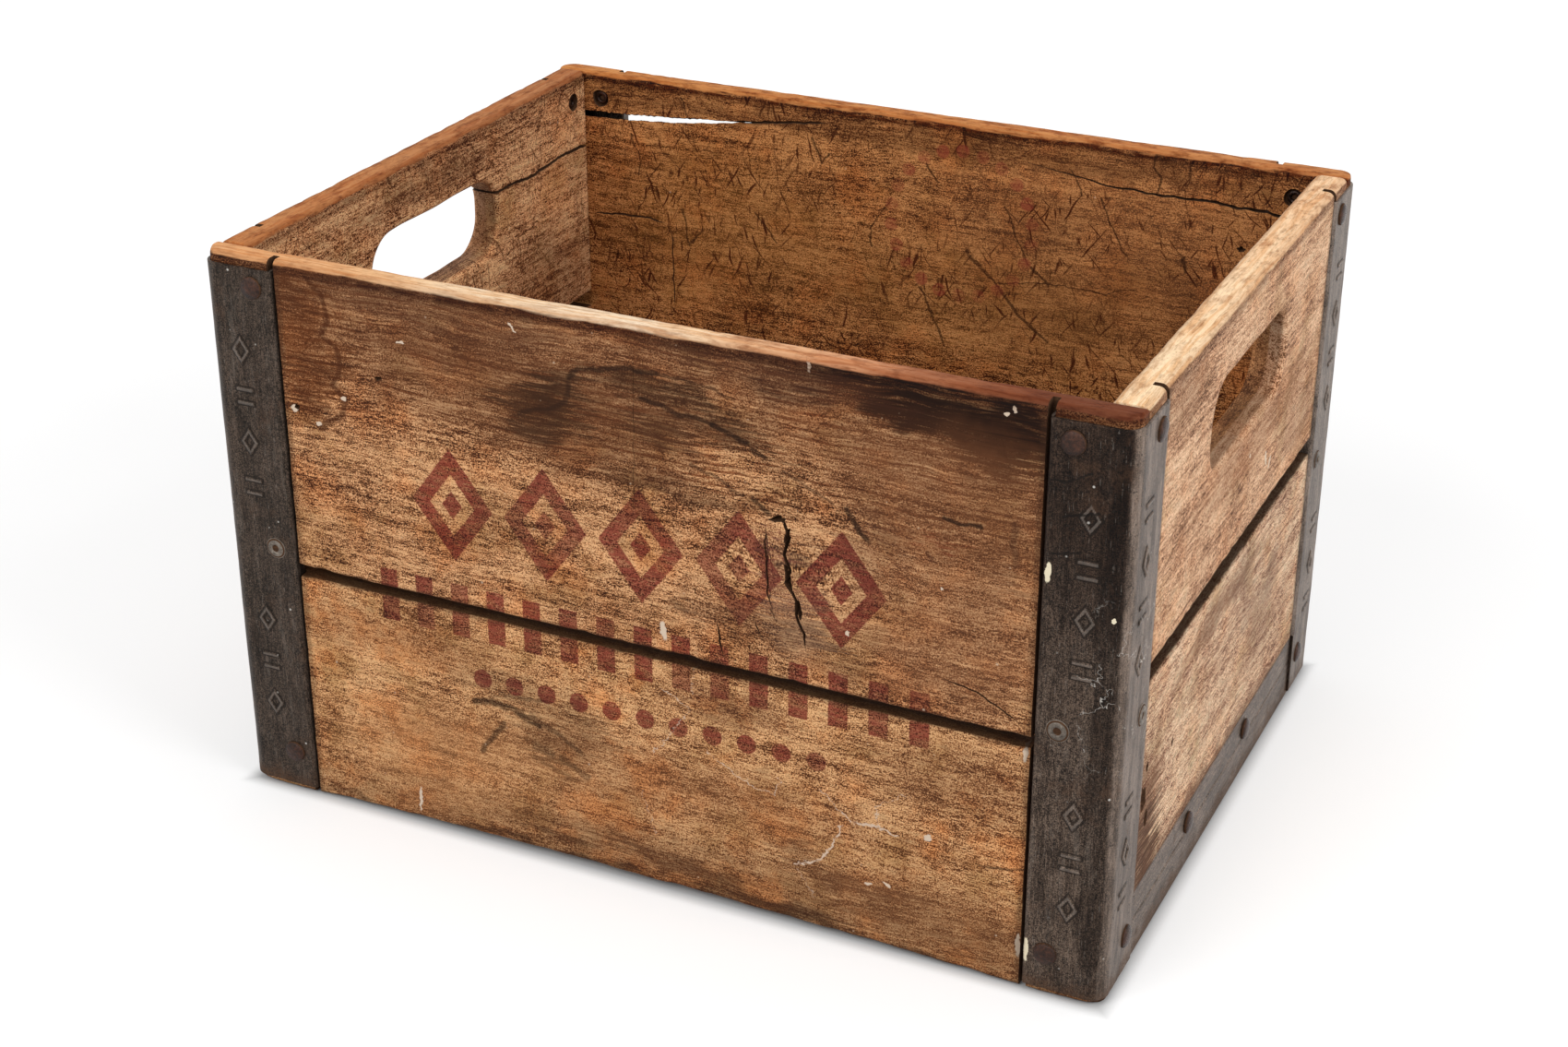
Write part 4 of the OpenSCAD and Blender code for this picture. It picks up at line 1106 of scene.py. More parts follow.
@dataclass
class Side:
    """The two boards of the front or the back, with their kerfs, rivet recesses, splits and cracks."""

    facing: Facing
    upper: bpy.types.Material
    lower: bpy.types.Material
    dark: bpy.types.Material
    seed: int

    def kerfs(self, low: float, high: float) -> list[tuple[Skin, bpy.types.Material]]:
        """The kerfs that the steel's lips stand in, for a board between two heights."""
        cut = Cutter(self.facing, SIDE_T)
        return [(cut.kerf(*sorted((e * (HALF_L - KERF_NEAR), e * (HALF_L - KERF_FAR))), low - 5, high + 5, self.seed + 40 + e), self.dark) for e in (-1, 1)]

    def recesses(self, heights: Sequence[float]) -> list[tuple[Skin, bpy.types.Material]]:
        """The hollows round the rivets' inner ends at these heights."""
        cut = Cutter(self.facing, SIDE_T)
        return [(cut.recess(e * (HALF_L - RIVET_IN), z, self.seed + int(z) + e), self.dark) for e in (-1, 1) for z in heights]

    def build(self) -> None:
        """Builds both boards."""
        cut = Cutter(self.facing, SIDE_T)
        low, high = SIDE_SEAM
        front = self.facing is Facing.FRONT
        upper, lower = self.kerfs(high, HEIGHT) + self.recesses(RIVET_Z[1:]), self.kerfs(0, low) + self.recesses(RIVET_Z[:1])
        if front:
            upper += [(cut.pit(71.0, 195.5, (1.1, 4.6), 5.0, -8, 5), self.dark), (cut.pit(66.5, 203.6, (3.6, 1.3), 4.0, 14, 6), self.dark),
                      (cut.pit(76.4, 163.0, (1.1, 5.0), 5.0, 12, 7), self.dark), (cut.pit(71.6, 176.5, (1.2, 6.0), 4.5, 12, 4), self.dark),
                      (cut.pit(-176.5, 209.4, (1.3, 1.3), 4.0, 0, 8), self.dark), (cut.pit(-131.0, 231.5, (1.8, 1.0), 3.0, 10, 9), self.dark),
                      (cut.groove([(63, 205), (69.5, 203), (72, 196), (69.5, 188), (72.5, 181), (70.5, 174), (75.5, 167), (75, 159), (79, 151), (79.5, 143)], 0.8, 5.0), self.dark),
                      (cut.groove([(61.2, 200), (60.6, 188), (61.8, 177), (61.6, 168), (64.5, 158)], 0.5, 2.0), self.dark),
                      (cut.groove([(36.6, 150), (38.5, 138), (40.5, 129)], 0.7, 3.0), self.dark), (cut.groove([(45.5, 150.5), (48.2, 145.5)], 0.7, 2.0), self.dark),
                      (cut.groove([(54.4, 153.9), (59.1, 143.9)], 0.8, 3.0), self.dark),
                      (cut.groove([(141, 145.5), (158, 142.5), (171, 136), (180, 131)], 0.55, 3.0), self.dark),
                      (cut.groove([(-1.0, 270), (-1.6, 240), (-2.4, 208), (-3.1, 188)], 0.3, 1.0), self.dark)]
        else:
            left = np.array([(-222, 24, 1), (-205, 24, 1), (-171, 22.5, 0.95), (-141, 20, 0.8), (-122, 18, 0.45), (-112, 16.8, 0.2), (-100, 15.5, 0.02)])
            right = np.array([(222, 25.5, 1), (192, 24.5, 1), (153, 22.5, 0.9), (126, 23, 0.75), (100, 22, 0.6), (76, 18.5, 0.4), (53, 15.5, 0.03)])
            for path, wide, tilt, seed in ((left, 3.6, 18.0, 61), (right, 1.6, 0.0, 71)):
                upper.append((cut.split(np.stack([path[:, 0], HEIGHT - path[:, 1], wide * path[:, 2]], 1), seed, tilt), self.dark))
            upper += [(cut.groove([(-203, 197), (-185, 199), (-166.8, 199.5), (-153.5, 197.3)], 0.8, 2.5, inner=True), self.dark),
                      (cut.groove([(-153.5, 197.3), (-151.8, 191), (-151.4, 171), (-150.9, 147)], 0.6, 2.0, inner=True), self.dark),
                      (cut.groove([(-116, 262), (-99.4, 263.5), (-81, 266), (-55.9, 269)], 1.0, 3.0, inner=True), self.dark),
                      (cut.pit(171.0, 234.0, (2.0, 1.4), 4.0, 0, 12, inner=True), self.dark)]
        name = self.facing.value
        common = dict(facing=self.facing, start=-HALF_L, length=2 * HALF_L, thick=SIDE_T, slot="side_wood", wrap=7.3)
        Board(node=f"{name}_upper_board", low=high, width=HEIGHT - high, finish=self.upper, seed=self.seed, top_round=3.2,
              low_bites=0.9, top_bites=0.3, knot=(68.0, 184.0, 0.9) if front else None, cuts=upper, **common).build()
        Board(node=f"{name}_lower_board", low=0.0, width=low, finish=self.lower, seed=self.seed + 1, low_bites=0.5, low_round=1.8,
              top_bites=0.9, bow=3.0 if front else 2.2, cuts=lower, **common).build()


@dataclass
class End:
    """The two boards of the left or the right end, the upper one with its handhold."""

    facing: Facing
    upper: bpy.types.Material
    lower: bpy.types.Material
    dark: bpy.types.Material
    seed: int

    def build(self) -> None:
        """Builds both boards."""
        cut = Cutter(self.facing, END_T)
        low, high = END_SEAM
        half = HALF_W - SIDE_T
        place = HALF_W - RIVET_IN
        kerf = lambda a, z: [(cut.kerf(*sorted((e * (HALF_W - KERF_NEAR), e * (HALF_W - KERF_FAR))), a, z, self.seed + 80 + e), self.dark) for e in (-1, 1)]
        recess = lambda heights: [(cut.recess(e * place, z, self.seed + int(z) + e), self.dark) for e in (-1, 1) for z in heights]
        upper = [(cut.handhold(self.seed), self.upper)] + kerf(high - 5, HEIGHT + 5) + recess(RIVET_Z[2:])
        lower = [(cut.rebate(), self.dark)] + kerf(STRIP_H + 0.3, low + 5) + recess(RIVET_Z[:2])
        lower += [(cut.recess(e * 47.0, 25.5, self.seed + 7 + e), self.dark) for e in (-1, 1)]
        if self.facing is Facing.LEFT:
            reach = half - HAND_L / 2
            points = [(-0.01, 10, 1), (0.3, 11.5, 0.8), (0.62, 9.5, 0.9), (0.9, 11.5, 0.7), (1.15, 11, 0.9)]
            path = np.array([(half - a * reach, HAND_Z + r - 0.0, 2.0 * k) for a, r, k in points])
            upper.append((cut.split(path, 91), self.dark))
            upper += [(cut.groove([(s, w0), (s + 2.5, w0 - 13)], 0.5, 1.2, inner=True), self.dark) for s, w0 in ((-8, 272), (6, 270), (19, 273), (27, 268))]
            upper.append((cut.groove([(-118, 238), (-96, 233), (-70, 231)], 0.3, 1.5, inner=True), self.dark))
        else:
            upper += [(cut.groove([(-122, 190), (-106, 195), (-92, 199)], 0.45, 2.0), self.dark),
                      (cut.groove([(149, 248), (110, 241), (63, 233)], 0.3, 1.2), self.dark)]
            lower += [(cut.pit(-124.0, 82.0, (3.2, 6.5), 3.4, 10, 21), self.dark), (cut.pit(-118.0, 69.0, (2.2, 4.2), 2.6, -8, 22), self.dark),
                      (cut.pit(-121.5, 97.0, (1.6, 2.4), 2.0, 0, 23), self.dark), (cut.pit(-84.0, 89.0, (1.3, 2.2), 1.8, 0, 24), self.dark)]
        name = self.facing.value
        common = dict(facing=self.facing, start=-half, length=2 * half, thick=END_T, slot="end_wood")
        Board(node=f"{name}_upper_board", low=high, width=HEIGHT - high, finish=self.upper, seed=self.seed, top_round=3.4,
              low_bites=1.1, top_bites=0.35, cuts=upper, **common).build()
        Board(node=f"{name}_lower_board", low=SLAT_LOW + SLAT_T, width=low - SLAT_LOW - SLAT_T, finish=self.lower, seed=self.seed + 1,
              top_bites=1.2, cuts=lower, **common).build()


@dataclass
class Floorboards:
    """The five slats of the bottom."""

    finish: bpy.types.Material
    seed: int = 300

    def build(self) -> None:
        """Builds the slats, each with its own wear."""
        for i, y in enumerate(SLAT_Y):
            Board(node=f"bottom_slat_{i + 1}", facing=Facing.UNDER, start=-219.5, length=439.0, thick=SLAT_T, low=y - SLAT_W / 2,
                  width=SLAT_W, finish=self.finish, seed=self.seed + 2 * i, slot="slat_wood", pitch=4.0, low_bites=0.6, top_bites=0.6).build()


# ---------------------------------------------------------------- steel

@dataclass
class CornerAngle:
    """A folded steel angle: one outline in plan, carried up the corner, with pressed marks on both legs."""

    name: str
    side_x: int
    side_y: int
    finish: bpy.types.Material
    seed: int
    bottom: float = 3.2
    top: float = 273.5
    lip_foot: float = 36.6
    mark_in: float = 17.0
    mark_z: tuple[float, ...] = (48.0, 71.0, 94.0, 164.0, 187.0, 210.0, 233.0)
    mark_half: tuple[float, float] = (4.6, 6.6)
    mark_high: float = 0.72

    def marks(self, along: np.ndarray, z: np.ndarray, shift: int, spread: float = 0.0) -> np.ndarray:
        """Shape of the pressed marks.

        Args:
            along: Distance along a leg from the wood's corner.
            z: Height up the corner.
            shift: 0 or 1, which mark comes first.
            spread: How much wider than themselves the marks are drawn, in mm.
        Returns:
            1 on a mark and 0 off it: a lozenge is a line about 1.5 mm wide where the sum of the two distances, each in its half
            width, is near 0.8, and its neighbour is a pair of short level bars. Both have soft shoulders.
        """
        out = np.zeros(np.broadcast(along, z).shape)
        step = lambda x: np.clip(x, 0, 1) ** 2 * (3 - 2 * np.clip(x, 0, 1))
        for k, middle in enumerate(self.mark_z):
            da, dz = np.abs(along - self.mark_in), np.abs(z - middle)
            if (k + shift) % 2:
                shape = step((0.75 + spread - np.abs(dz - 3.4)) / 0.4 + 0.5) * step((self.mark_half[0] + spread - da) / 0.4 + 0.5)
            else:
                far = np.abs(da / self.mark_half[0] + dz / self.mark_half[1] - 0.82) * 3.6
                shape = step((0.72 + spread - far) / 0.4 + 0.5)
            out = np.maximum(out, shape)
        return out

    def outline(self) -> tuple[np.ndarray, np.ndarray, np.ndarray]:
        """The outline in plan, from the wood's corner: along the front leg x grows, along the end leg y grows.

        Returns:
            Points (n, 2) going along the outer skin from the front leg's lip to the end leg's lip and back along the
            inner skin; the direction that is outwards from the wood there; and each point's distance along its leg,
            negative on the end leg.
        """
        def arc(cx: float, cy: float, r: float, a0: float, a1: float, n: int) -> np.ndarray:
            a = np.radians(np.linspace(a0, a1, n))
            return np.stack([cx + r * np.cos(a), cy + r * np.sin(a)], 1)

        def run(x0: float, x1: float, n: int, level: float) -> np.ndarray:
            return np.stack([np.linspace(x0, x1, n), np.full(n, level)], 1)

        o = -STEEL_T
        cells = np.concatenate([np.linspace(LEG_W - LIP_R, self.mark_in + 6, 10)[:-1], np.arange(self.mark_in + 6, self.mark_in - 6, -0.6), np.linspace(self.mark_in - 6, BEND_R + o, 5)])
        leg = np.stack([cells, np.full(len(cells), o)], 1)
        lip = np.concatenate([[[LEG_W, LIP_D]], [[LEG_W, 2.6]], arc(LEG_W - LIP_R, o + LIP_R, LIP_R, 0, -90, 6)])
        half = np.concatenate([lip, leg[1:], arc(BEND_R + o, BEND_R + o, BEND_R, 270, 225, 7)[1:]])
        outer = np.concatenate([half, half[:-1][::-1][:, ::-1]])
        inner_leg = run(LEG_W - LIP_R, BEND_R + o, 12, 0.0)
        inner_lip = np.concatenate([[[LEG_W - STEEL_T, LIP_D]], [[LEG_W - STEEL_T, 2.6]], arc(LEG_W - LIP_R, o + LIP_R, LIP_R - STEEL_T, 0, -90, 4)])
        in_half = np.concatenate([inner_lip, inner_leg[1:], arc(BEND_R + o, BEND_R + o, BEND_R - STEEL_T, 270, 225, 6)[1:]])
        inner = np.concatenate([in_half, in_half[:-1][::-1][:, ::-1]])[::-1]
        ring = np.concatenate([outer, inner])
        x, y = ring[:, 0], ring[:, 1]
        bend = BEND_R + o
        away = np.stack([np.where(x < bend, x - bend, 0), np.where(y < bend, y - bend, 0)], 1)
        size = np.linalg.norm(away, axis=1, keepdims=True)
        away = np.where(size > 1e-6, away / np.maximum(size, 1e-6), 0)
        return ring, away, np.where(x >= y, x, -y)

    def rings(self) -> tuple[np.ndarray, np.ndarray]:
        """The outline at each height, with marks, shallow dents and broken edges.

        Returns:
            Points as (heights, points, 3), and for each how far it is pressed up, or below 0 in the ring round a mark
            that takes dirt and painted shade.
        """
        ring, away, along = self.outline()
        z = np.concatenate([[self.bottom, self.bottom + 0.25, self.bottom + 0.6], np.arange(self.bottom + 1.2, self.lip_foot - 0.3, 0.62),
                            [self.lip_foot - 0.15, self.lip_foot + 0.15], np.arange(self.lip_foot + 0.7, self.top - 1.0, 0.62),
                            [self.top - 0.6, self.top - 0.25, self.top]])[:, None]
        x, y = ring[None, :, 0] + 0 * z, ring[None, :, 1] + 0 * z
        # the end leg has no lip at its foot: its points there are drawn straight to the leg's plain edge
        plain = (z < self.lip_foot) & (along[None] < -(LEG_W - LIP_R - 0.01)) | (z < self.lip_foot) & (y > LEG_W - LIP_R + 0.01)
        outside = np.arange(len(ring))[None] < (len(ring) + len(ring) % 2) * 0.5 + 20
        flat_x = np.where(x < -0.2 + 0 * outside, x, x)
        lip_in = y > LEG_W - LIP_R + 0.01
        is_outer = np.zeros(len(ring), bool)
        is_outer[: self.outer_count()] = True
        flat_x = np.where(is_outer[None], -STEEL_T, 0.0)
        reach = np.clip((y - (LEG_W - LIP_R)) / LIP_R, 0, 1)
        flat_y = np.where(is_outer[None], LEG_W - LIP_R + LIP_R * reach, LEG_W - LIP_R + LIP_R * np.clip(reach * 1.7, 0, 1))
        use = (z < self.lip_foot) & lip_in
        x, y = np.where(use, flat_x, x), np.where(use, flat_y, y)
        both_legs = lambda spread: np.where(is_outer[None], self.marks(along[None], z, 0, spread) * (along[None] > 0) + self.marks(-along[None], z, 1, spread) * (along[None] < 0), 0.0)
        lift = both_legs(0.0)
        dent = 0.16 * swells(along[None] * 1.0, z, self.seed, (70, 30, 13), (1, 0.7, 0.35))
        edge = np.minimum(np.abs(z - self.bottom), np.abs(z - self.top))
        broken = -quarter(edge, 0.5) * 0.7 * is_outer[None]
        grow = self.mark_high * lift + dent + broken
        x, y = x + away[None, :, 0] * grow, y + away[None, :, 1] * grow
        rag = 0.25 * wander(along, self.seed + 3, (14, 5), (1, 0.5))[None]
        z = z + rag * ((z > self.top - 0.7) | (z < self.bottom + 0.7)) * np.where(z > 100, -1, 1) * 0.5 + 0 * x
        return np.stack([self.side_x * (HALF_L - x), self.side_y * (HALF_W - y), z], -1), lift - (1 - lift) * both_legs(0.8)

    def outer_count(self) -> int:
        """How many of the outline's points lie on the outer skin."""
        cells = len(np.arange(self.mark_in + 6, self.mark_in - 6, -0.6))
        half = 8 + (9 + cells + 5 - 1) + 6
        return 2 * half - 1

    def build(self) -> bpy.types.Object:
        """Skins the angle, names it after its node, fixes it to the crate's body and hides the CAD node."""
        points, pressed = self.rings()
        piece = mesh_object("steel_" + self.name, loft(points), self.finish, pressed=pressed)
        soften(piece, 42)
        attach(piece, "root")
        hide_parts(self.name)
        LOG.info("%s: %d faces", piece.name, len(piece.data.polygons))
        return piece


@dataclass
class EndStrip:
    """The steel strip at the foot of an end, with its foot under the slats and a crease along it."""

    node: str
    side: int
    finish: bpy.types.Material
    seed: int

    def build(self) -> bpy.types.Object:
        """Carries an L of sheet steel along y: its outer face has a narrow crease and swells a little."""
        y = np.linspace(-STRIP_Y, STRIP_Y, 206)[:, None]
        h = np.concatenate([np.linspace(2.2, CREASE_Z - 1.0, 10), [CREASE_Z - 0.5, CREASE_Z, CREASE_Z + 0.5], np.linspace(CREASE_Z + 1.0, STRIP_H - 0.4, 9)])
        a = np.radians(np.linspace(270, 180, 6))
        d_out = np.concatenate([np.linspace(STRIP_FOOT, 2.2, 8), 2.2 + 2.2 * np.cos(a)[1:], np.zeros(len(h) - 1), [0.3]])
        z_out = np.concatenate([np.zeros(8), 2.2 + 2.2 * np.sin(a)[1:], h[1:], [STRIP_H]])
        d_in = np.concatenate([[STEEL_T], np.full(4, STEEL_T), STEEL_T + 1 + 1.0 * np.cos(a[::-1])[:-1], np.linspace(3.2, STRIP_FOOT, 7)])
        z_in = np.concatenate([[STRIP_H - 0.1], np.linspace(STRIP_H - 3, 3.4, 4), STEEL_T + 1 + 1.0 * np.sin(a[::-1])[:-1], np.full(7, STEEL_T)])
        d = np.concatenate([d_out, d_in])[None] + 0 * y
        z = np.concatenate([z_out, z_in])[None] + 0 * y
        outer = (np.arange(d.shape[1]) < len(d_out))[None] & (z > 2.5)
        crease = 0.45 * np.exp(-(((z - CREASE_Z - 0.5 * wander(y, self.seed, (120, 50))) / 0.45) ** 2))
        lap = 0.22 * (z > CREASE_Z)
        dent = 0.14 * (1 + swells(y, z, self.seed + 1, (60, 25)))
        d = d + outer * (crease + lap + dent)
        top = 0.3 * (1 + wander(y, self.seed + 2, (30, 9))) * (z > STRIP_H - 0.5)
        points = np.stack([self.side * (HALF_L - d), y + 0 * d, z - top], -1)
        piece = mesh_object("steel_" + self.node, loft(points), self.finish)
        soften(piece, 40)
        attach(piece, "root")
        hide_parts(self.node)
        LOG.info("%s: %d faces", piece.name, len(piece.data.polygons))
        return piece


class Head(Enum):
    """The two looks of a rivet's head."""

    DOMED = "domed"
    DISHED = "dished"


@dataclass(frozen=True)
class Rivet:
    """One rivet, as a profile of (radius, height) turned round its axis; height 0 is the steel's face."""

    centre: tuple[float, float, float]
    outwards: tuple[int, int]
    grip: float  # from the steel's face to the floor of the recess
    head: Head
    seed: int

    def profile(self) -> np.ndarray:
        """Rows of (radius, height) from the head's middle to the middle of the rolled inner end."""
        a = np.linspace(0, 1, 12)
        if self.head is Head.DOMED:
            r = 5.4 * np.sin(a * np.pi / 2)
            h = 0.25 + 1.95 * np.cos(a * np.pi / 2) ** 0.75
            head = np.concatenate([np.stack([r, h], 1), [[5.35, -0.05]]])
        else:
            head = np.array([(0, 0.12), (0.9, 0.12), (1.4, 0.20), (1.8, 0.62), (2.4, 1.10), (3.0, 1.22), (3.7, 1.06), (4.2, 0.62), (4.55, 0.34), (4.95, 0.36), (5.25, 0.26), (5.28, -0.05)])
        b = np.radians(np.linspace(-60, 215, 10))
        roll = np.stack([2.6 + 1.05 * np.cos(b), -self.grip - 0.72 - 0.72 * np.sin(b)], 1)
        tail = np.array([(1.42, -self.grip - 0.5), (1.40, -self.grip + 0.9), (0, -self.grip + 1.0)])
        return np.concatenate([head, [[2.3, -0.1], [2.3, -self.grip + 0.2]], roll, tail])

    def skin(self) -> Skin:
        """Turns the profile round the axis, a little out of round and uneven, with a point at each pole."""
        prof = self.profile()
        a = np.linspace(0, 2 * np.pi, 29)[:-1][None]
        r, h = prof[:, :1], prof[:, 1:]
        noise = swells(a * 6, h * 3, self.seed, (38, 17), (1, 0.6))
        inner = (h < -1).astype(float)
        r = r * (1 + (0.02 + 0.05 * inner) * noise)
        h = h + 0.10 * noise * (h > 0.2) * np.minimum(r / 2, 1) + 0.14 * noise * inner * (h < -self.grip + 0.1)
        out = np.array([self.outwards[0], self.outwards[1], 0.0])
        side = np.array([-out[1], out[0], 0.0])
        up = np.array([0.0, 0.0, 1.0])
        points = np.array(self.centre) + (r * np.cos(a))[..., None] * side + (r * np.sin(a))[..., None] * up + (h + 0 * a)[..., None] * out
        return loft(points)


@dataclass
class RivetSet:
    """The rivets of one node, made as one piece."""

    node: str
    finish: bpy.types.Material
    worn: bpy.types.Material
    # the dark finish of hollows and rims: painted shade, with dirt
    grime_and_shade: bpy.types.Material
    rivets: list[Rivet]

    def build(self) -> bpy.types.Object:
        """Skins every rivet of the node; dished ones take the greyer finish, and hollows and rims take a dark finish:
        painted shade, with dirt.
        """
        skins = [r.skin() for r in self.rivets]
        piece = mesh_object("rivets_" + self.node, join(skins), self.finish)
        piece.data.materials.append(self.worn)
        piece.data.materials.append(self.grime_and_shade)
        middles = np.array([r.centre for r in self.rivets]) * MM
        centre = np.empty(len(piece.data.polygons) * 3)
        piece.data.polygons.foreach_get("center", centre)
        centre = centre.reshape(-1, 3)
        nearest = np.linalg.norm(centre[:, None] - middles[None], axis=2).argmin(axis=1)
        dished = np.array([r.head is Head.DISHED for r in self.rivets])[nearest]
        out = np.array([(*r.outwards, 0) for r in self.rivets], float)[nearest]
        off = (centre - middles[nearest]) / MM
        level = (off * out).sum(axis=1)
        radius = np.linalg.norm(off - level[:, None] * out, axis=1)
        # the dimple and ring groove of a dished head and the rim of a domed one: painted shade, with dirt
        dirt_and_shade = (level > -0.5) & np.where(dished, (radius < 1.7) | (radius > 4.15) & (radius < 4.8), radius > 5.2)
        piece.data.polygons.foreach_set("material_index", np.where(dirt_and_shade, 2, dished).astype(np.int32))
        soften(piece, 50)
        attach(piece, "root")
        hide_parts(self.node)
        LOG.info("%s: %d faces", piece.name, len(piece.data.polygons))
        return piece


# ---------------------------------------------------------------- studio

@dataclass(frozen=True)
class Studio:
    """The camera at the photograph's place, a pale floor, a white surround and soft lamps."""

    lens: float = 58.61
    eye: tuple[float, float, float] = (0.4806, -1.0386, 0.6766)
    right: tuple[float, float, float] = (0.90398, 0.42758, 0.00154)
    up: tuple[float, float, float] = (-0.19016, 0.39881, 0.8971)
    back: tuple[float, float, float] = (0.38296, -0.81125, 0.44183)

    def camera(self) -> None:
        """Makes the camera and the scene's view settings."""
        data = bpy.data.cameras.new("photo_camera")
        data.lens, data.sensor_width, data.clip_start, data.clip_end = self.lens, 36.0, 0.05, 50.0
        eye = bpy.data.objects.new("photo_camera", data)
        turn = Matrix((self.right, self.up, self.back)).transposed().to_4x4()
        eye.matrix_world = Matrix.Translation(Vector(self.eye)) @ turn
        bpy.context.scene.collection.objects.link(eye)
        bpy.context.scene.camera = eye
        bpy.context.scene.view_settings.view_transform = "Standard"

    def surround(self) -> None:
        """A world that is white to the eye and to gloss, and a dimmer, even light to everything else."""
        world = bpy.data.worlds.new("white_surround")
        bpy.context.scene.world = world
        world.use_nodes = True
        tree = world.node_tree
        tree.nodes.clear()
        rays = tree.nodes.new("ShaderNodeLightPath")
        seen = tree.nodes.new("ShaderNodeMath")
        seen.operation = "MAXIMUM"
        tree.links.new(rays.outputs["Is Camera Ray"], seen.inputs[0])
        tree.links.new(rays.outputs["Is Transmission Ray"], seen.inputs[1])
        soft, white, gloss = (tree.nodes.new("ShaderNodeBackground") for _ in range(3))
        soft.inputs[0].default_value, soft.inputs[1].default_value = (1.0, 1.0, 1.0, 1.0), 0.46
        white.inputs[0].default_value, white.inputs[1].default_value = (1.0, 1.0, 1.0, 1.0), 1.0
        gloss.inputs[0].default_value, gloss.inputs[1].default_value = (1.0, 1.0, 1.0, 1.0), 1.0
        first, second = tree.nodes.new("ShaderNodeMixShader"), tree.nodes.new("ShaderNodeMixShader")
        tree.links.new(rays.outputs["Is Glossy Ray"], first.inputs[0])
        tree.links.new(soft.outputs[0], first.inputs[1])
        tree.links.new(gloss.outputs[0], first.inputs[2])
        tree.links.new(seen.outputs[0], second.inputs[0])
        tree.links.new(first.outputs[0], second.inputs[1])
        tree.links.new(white.outputs[0], second.inputs[2])
        out = tree.nodes.new("ShaderNodeOutputWorld")
        tree.links.new(second.outputs[0], out.inputs[0])

    def floor(self) -> None:
        """A wide pale floor: part of what the eye sees is its own white, more so far off, the rest is lit and keeps the
        shadow; near the crate's foot the white is taken away, a painted contact shadow.
        """
        material = bpy.data.materials.new("pale_floor")
        material.use_nodes = True
        tree = material.node_tree
        tree.nodes.clear()
        lit = tree.nodes.new("ShaderNodeBsdfDiffuse")
        lit.inputs[0].default_value = (0.62, 0.62, 0.62, 1.0)
        glow = tree.nodes.new("ShaderNodeEmission")
        glow.inputs[0].default_value = (1.0, 1.0, 1.0, 1.0)
        rays = tree.nodes.new("ShaderNodeLightPath")
        seen = tree.nodes.new("ShaderNodeMath")
        seen.operation = "MAXIMUM"
        tree.links.new(rays.outputs["Is Camera Ray"], seen.inputs[0])
        tree.links.new(rays.outputs["Is Glossy Ray"], seen.inputs[1])
        place = tree.nodes.new("ShaderNodeTexCoord")
        away = tree.nodes.new("ShaderNodeVectorMath")
        away.operation = "LENGTH"
        tree.links.new(place.outputs["Object"], away.inputs[0])
        lift = tree.nodes.new("ShaderNodeMapRange")
        for k, value in enumerate((0.45, 2.4, 0.455, 0.80)):  # metres from the crate, then how bright there
            lift.inputs[k + 1].default_value = value
        tree.links.new(away.outputs["Value"], lift.inputs[0])
        parts = tree.nodes.new("ShaderNodeSeparateXYZ")
        tree.links.new(place.outputs["Object"], parts.inputs[0])

        def maths(operation: str, a: Feed, b: Feed) -> bpy.types.NodeSocket:
            """One maths node."""
            node = tree.nodes.new("ShaderNodeMath")
            node.operation = operation
            for socket, value in zip(node.inputs, (a, b)):
                if isinstance(value, float):
                    socket.default_value = value
                else:
                    tree.links.new(value, socket)
            return node.outputs[0]

        # near the crate's foot the floor's own white falls away: a painted contact shadow
        beyond = [maths("SUBTRACT", maths("ABSOLUTE", parts.outputs[k], 0.0), half * MM) for k, half in enumerate((HALF_L, HALF_W))]
        clear = tree.nodes.new("ShaderNodeMapRange")
        clear.interpolation_type = "SMOOTHSTEP"
        for k, value in enumerate((-0.002, 0.008, 0.0, 1.0)):  # metres outside the crate's foot, then the share of white: it falls to 0 near the foot, a painted contact shadow
            clear.inputs[k + 1].default_value = value
        tree.links.new(maths("MAXIMUM", *beyond), clear.inputs[0])
        level = tree.nodes.new("ShaderNodeMath")
        level.operation = "MULTIPLY"
        tree.links.new(seen.outputs[0], level.inputs[0])
        tree.links.new(maths("MULTIPLY", lift.outputs[0], clear.outputs[0]), level.inputs[1])
        tree.links.new(level.outputs[0], glow.inputs[1])
        both = tree.nodes.new("ShaderNodeAddShader")
        tree.links.new(lit.outputs[0], both.inputs[0])
        tree.links.new(glow.outputs[0], both.inputs[1])
        out = tree.nodes.new("ShaderNodeOutputMaterial")
        tree.links.new(both.outputs[0], out.inputs[0])
        u = np.linspace(-9.0, 9.0, 7)
        gx, gy = np.meshgrid(u, u)
        points = np.stack([gx.ravel(), gy.ravel(), np.full(gx.size, -0.0004)], 1)
        i = np.arange(36)
        first = (i // 6) * 7 + i % 6
        faces = np.stack([first, first + 1, first + 8, first + 7], 1)
        mesh = bpy.data.meshes.new("studio_floor")
        mesh.from_pydata(points.tolist(), [], faces.tolist())
        mesh.materials.append(material)
        plane = bpy.data.objects.new("studio_floor", mesh)
        bpy.context.scene.collection.objects.link(plane)

    def lamp(self, name: str, place: tuple[float, float, float], power: float, size: float, aim: tuple[float, float, float] = (0, 0, 0.12)) -> None:
        """A soft square lamp at a place in metres that looks at the crate."""
        data = bpy.data.lights.new(name, "AREA")
        data.energy, data.size = power, size
        lamp = bpy.data.objects.new(name, data)
        lamp.location = place
        lamp.rotation_euler = (Vector(aim) - Vector(place)).to_track_quat("-Z", "Y").to_euler()
        bpy.context.scene.collection.objects.link(lamp)

